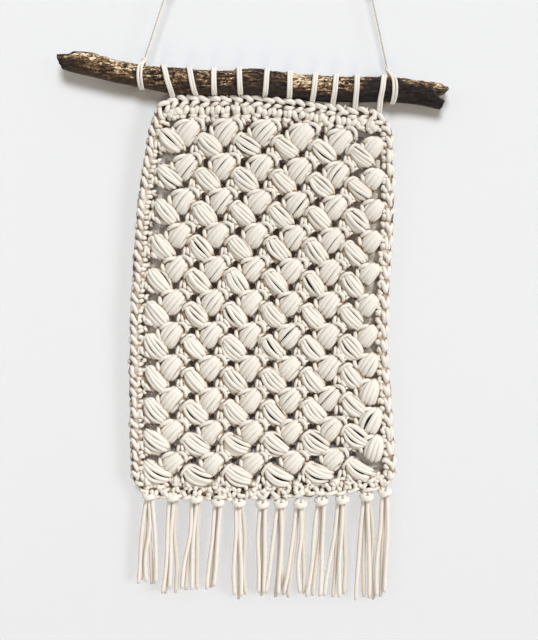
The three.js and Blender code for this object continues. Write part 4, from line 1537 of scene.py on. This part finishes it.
def all_but(name, pieces):
    """A collection for a light that reaches, or is stopped by, everything but these pieces."""
    made = bpy.data.collections.new(name)
    for piece in pieces:
        made.objects.link(piece)
    for held in made.collection_objects:
        held.light_linking.link_state = "EXCLUDE"
    return made


def add_light(name, kind, at, aim, power, receivers):
    """A light that shines along aim, on the receivers alone."""
    lamp_data = bpy.data.lights.new(name, kind)
    lamp_data.energy = power
    lamp = bpy.data.objects.new(name, lamp_data)
    lamp.location = at
    lamp.rotation_euler = (math.acos(-aim[2]), 0, math.atan2(aim[1], aim[0]) - math.pi / 2)
    bpy.context.scene.collection.objects.link(lamp)
    lamp.light_linking.receiver_collection = receivers
    return lamp


left_out = all_but("wall_left_out", [wall])
past_border = all_but("past_border", [border_stitches])
past_edges = all_but("past_edges", [*tassels, border_stitches])
past_branch = all_but("past_branch", [branch])
past_outline = all_but("past_outline", [*tassels, border_stitches, branch, floor])
LIGHTS = table(
    "name kind at size power",
    ("key", "SUN", (1.3, -1.5, 1.1), 0.3, 3.2),
    ("fill", "AREA", (-1.4, -1.8, 0.1), 1.6, 7.0),
    ("back", "AREA", (0.35, 2.1, 0.35), 0.8, 32.0),
)
# The lights on the wall, each with the pieces that it passes without a shadow
WALL_LIGHTS = table(
    "name at size power passes",
    ("wash", (0.0, -1.3, 0.36), 0.36, 112.0, past_edges),
    ("glow", (0.1, -1.9, 0.0), 2.8, 36.0, past_border),
    ("from_right", (1.35, -1.35, -0.34), 0.4, 29.0, past_branch),
    ("from_left", (-1.35, -1.35, -0.34), 0.4, 4.0, past_branch),
    ("bounce", (0.0, -1.3, -1.5), 0.3, 11.5, past_outline),
)
# Even out the wall's warm paint, and leave its shadows a little warm
WALL_TINTS = {
    "plain": (0.2815, 0.5503, 1.048),
    "bounce": (0.42, 0.5503, 0.28),
    "edges": (0.287, 0.4915, 0.759),
}
target = np.array((0.0, 0.0, VIEW_CENTRE[1] * MM))
for entry in LIGHTS:
    aim = unit(target - np.array(entry["at"]))
    lamp = add_light(entry["name"], entry["kind"], entry["at"], aim, entry["power"], left_out)
    setattr(lamp.data, "angle" if entry["kind"] == "SUN" else "size", entry["size"])
for entry in WALL_LIGHTS:
    aim = unit(target - np.array(entry["at"]))
    lamp = add_light(entry["name"], "SUN", entry["at"], aim, entry["power"], lit_alone)
    lamp.data.angle = entry["size"]
    lamp.data.color = WALL_TINTS.get(entry["name"], WALL_TINTS["plain"])
    lamp.light_linking.blocker_collection = entry["passes"]

# Light that slips in beside the two edges and is thrown back and forth behind them, as narrow
# strips between the side borders and the wall.
EDGE_LIGHTS = table(
    "side inward power",
    ("edge_right", -7.0, 0.24),
    ("edge_left", 8.0, 0.12),
)
EDGE_LIGHT_ROWS = (1.4, 3.4, 5.4, 7.4, 9.4)
EDGE_LIGHT_SIZE = (3.0, 70.0)
EDGE_LIGHT_Y = 6.5
EDGE_LIGHT_AIM = (0.8, 0.6)  # inward and to the wall
for entry in EDGE_LIGHTS:
    for row in EDGE_LIGHT_ROWS:
        x = float(read(LEVELS, entry["side"], np.array([row]))[0]) + entry["inward"]
        z = float(height_at(np.array([COLUMNS / 2]), np.array([row]))[0])
        at = (x * MM, EDGE_LIGHT_Y * MM, z * MM)
        aim = (math.copysign(EDGE_LIGHT_AIM[0], entry["inward"]), EDGE_LIGHT_AIM[1], 0.0)
        name = f"{entry['side']}_{row:.0f}"
        lamp = add_light(name, "AREA", at, aim, entry["power"], lit_alone)
        lamp.data.shape = "RECTANGLE"
        lamp.data.size = EDGE_LIGHT_SIZE[0] * MM
        lamp.data.size_y = EDGE_LIGHT_SIZE[1] * MM
        lamp.data.color = WALL_TINTS["edges"]
        lamp.visible_camera = False
STUDIO = {"Color": linear("#f4f3f1"), "Strength": 0.26}  # the even light of the room
studio = bpy.data.worlds.new("studio")
studio.use_nodes = True
for socket, value in STUDIO.items():
    studio.node_tree.nodes["Background"].inputs[socket].default_value = value
bpy.context.scene.world = studio
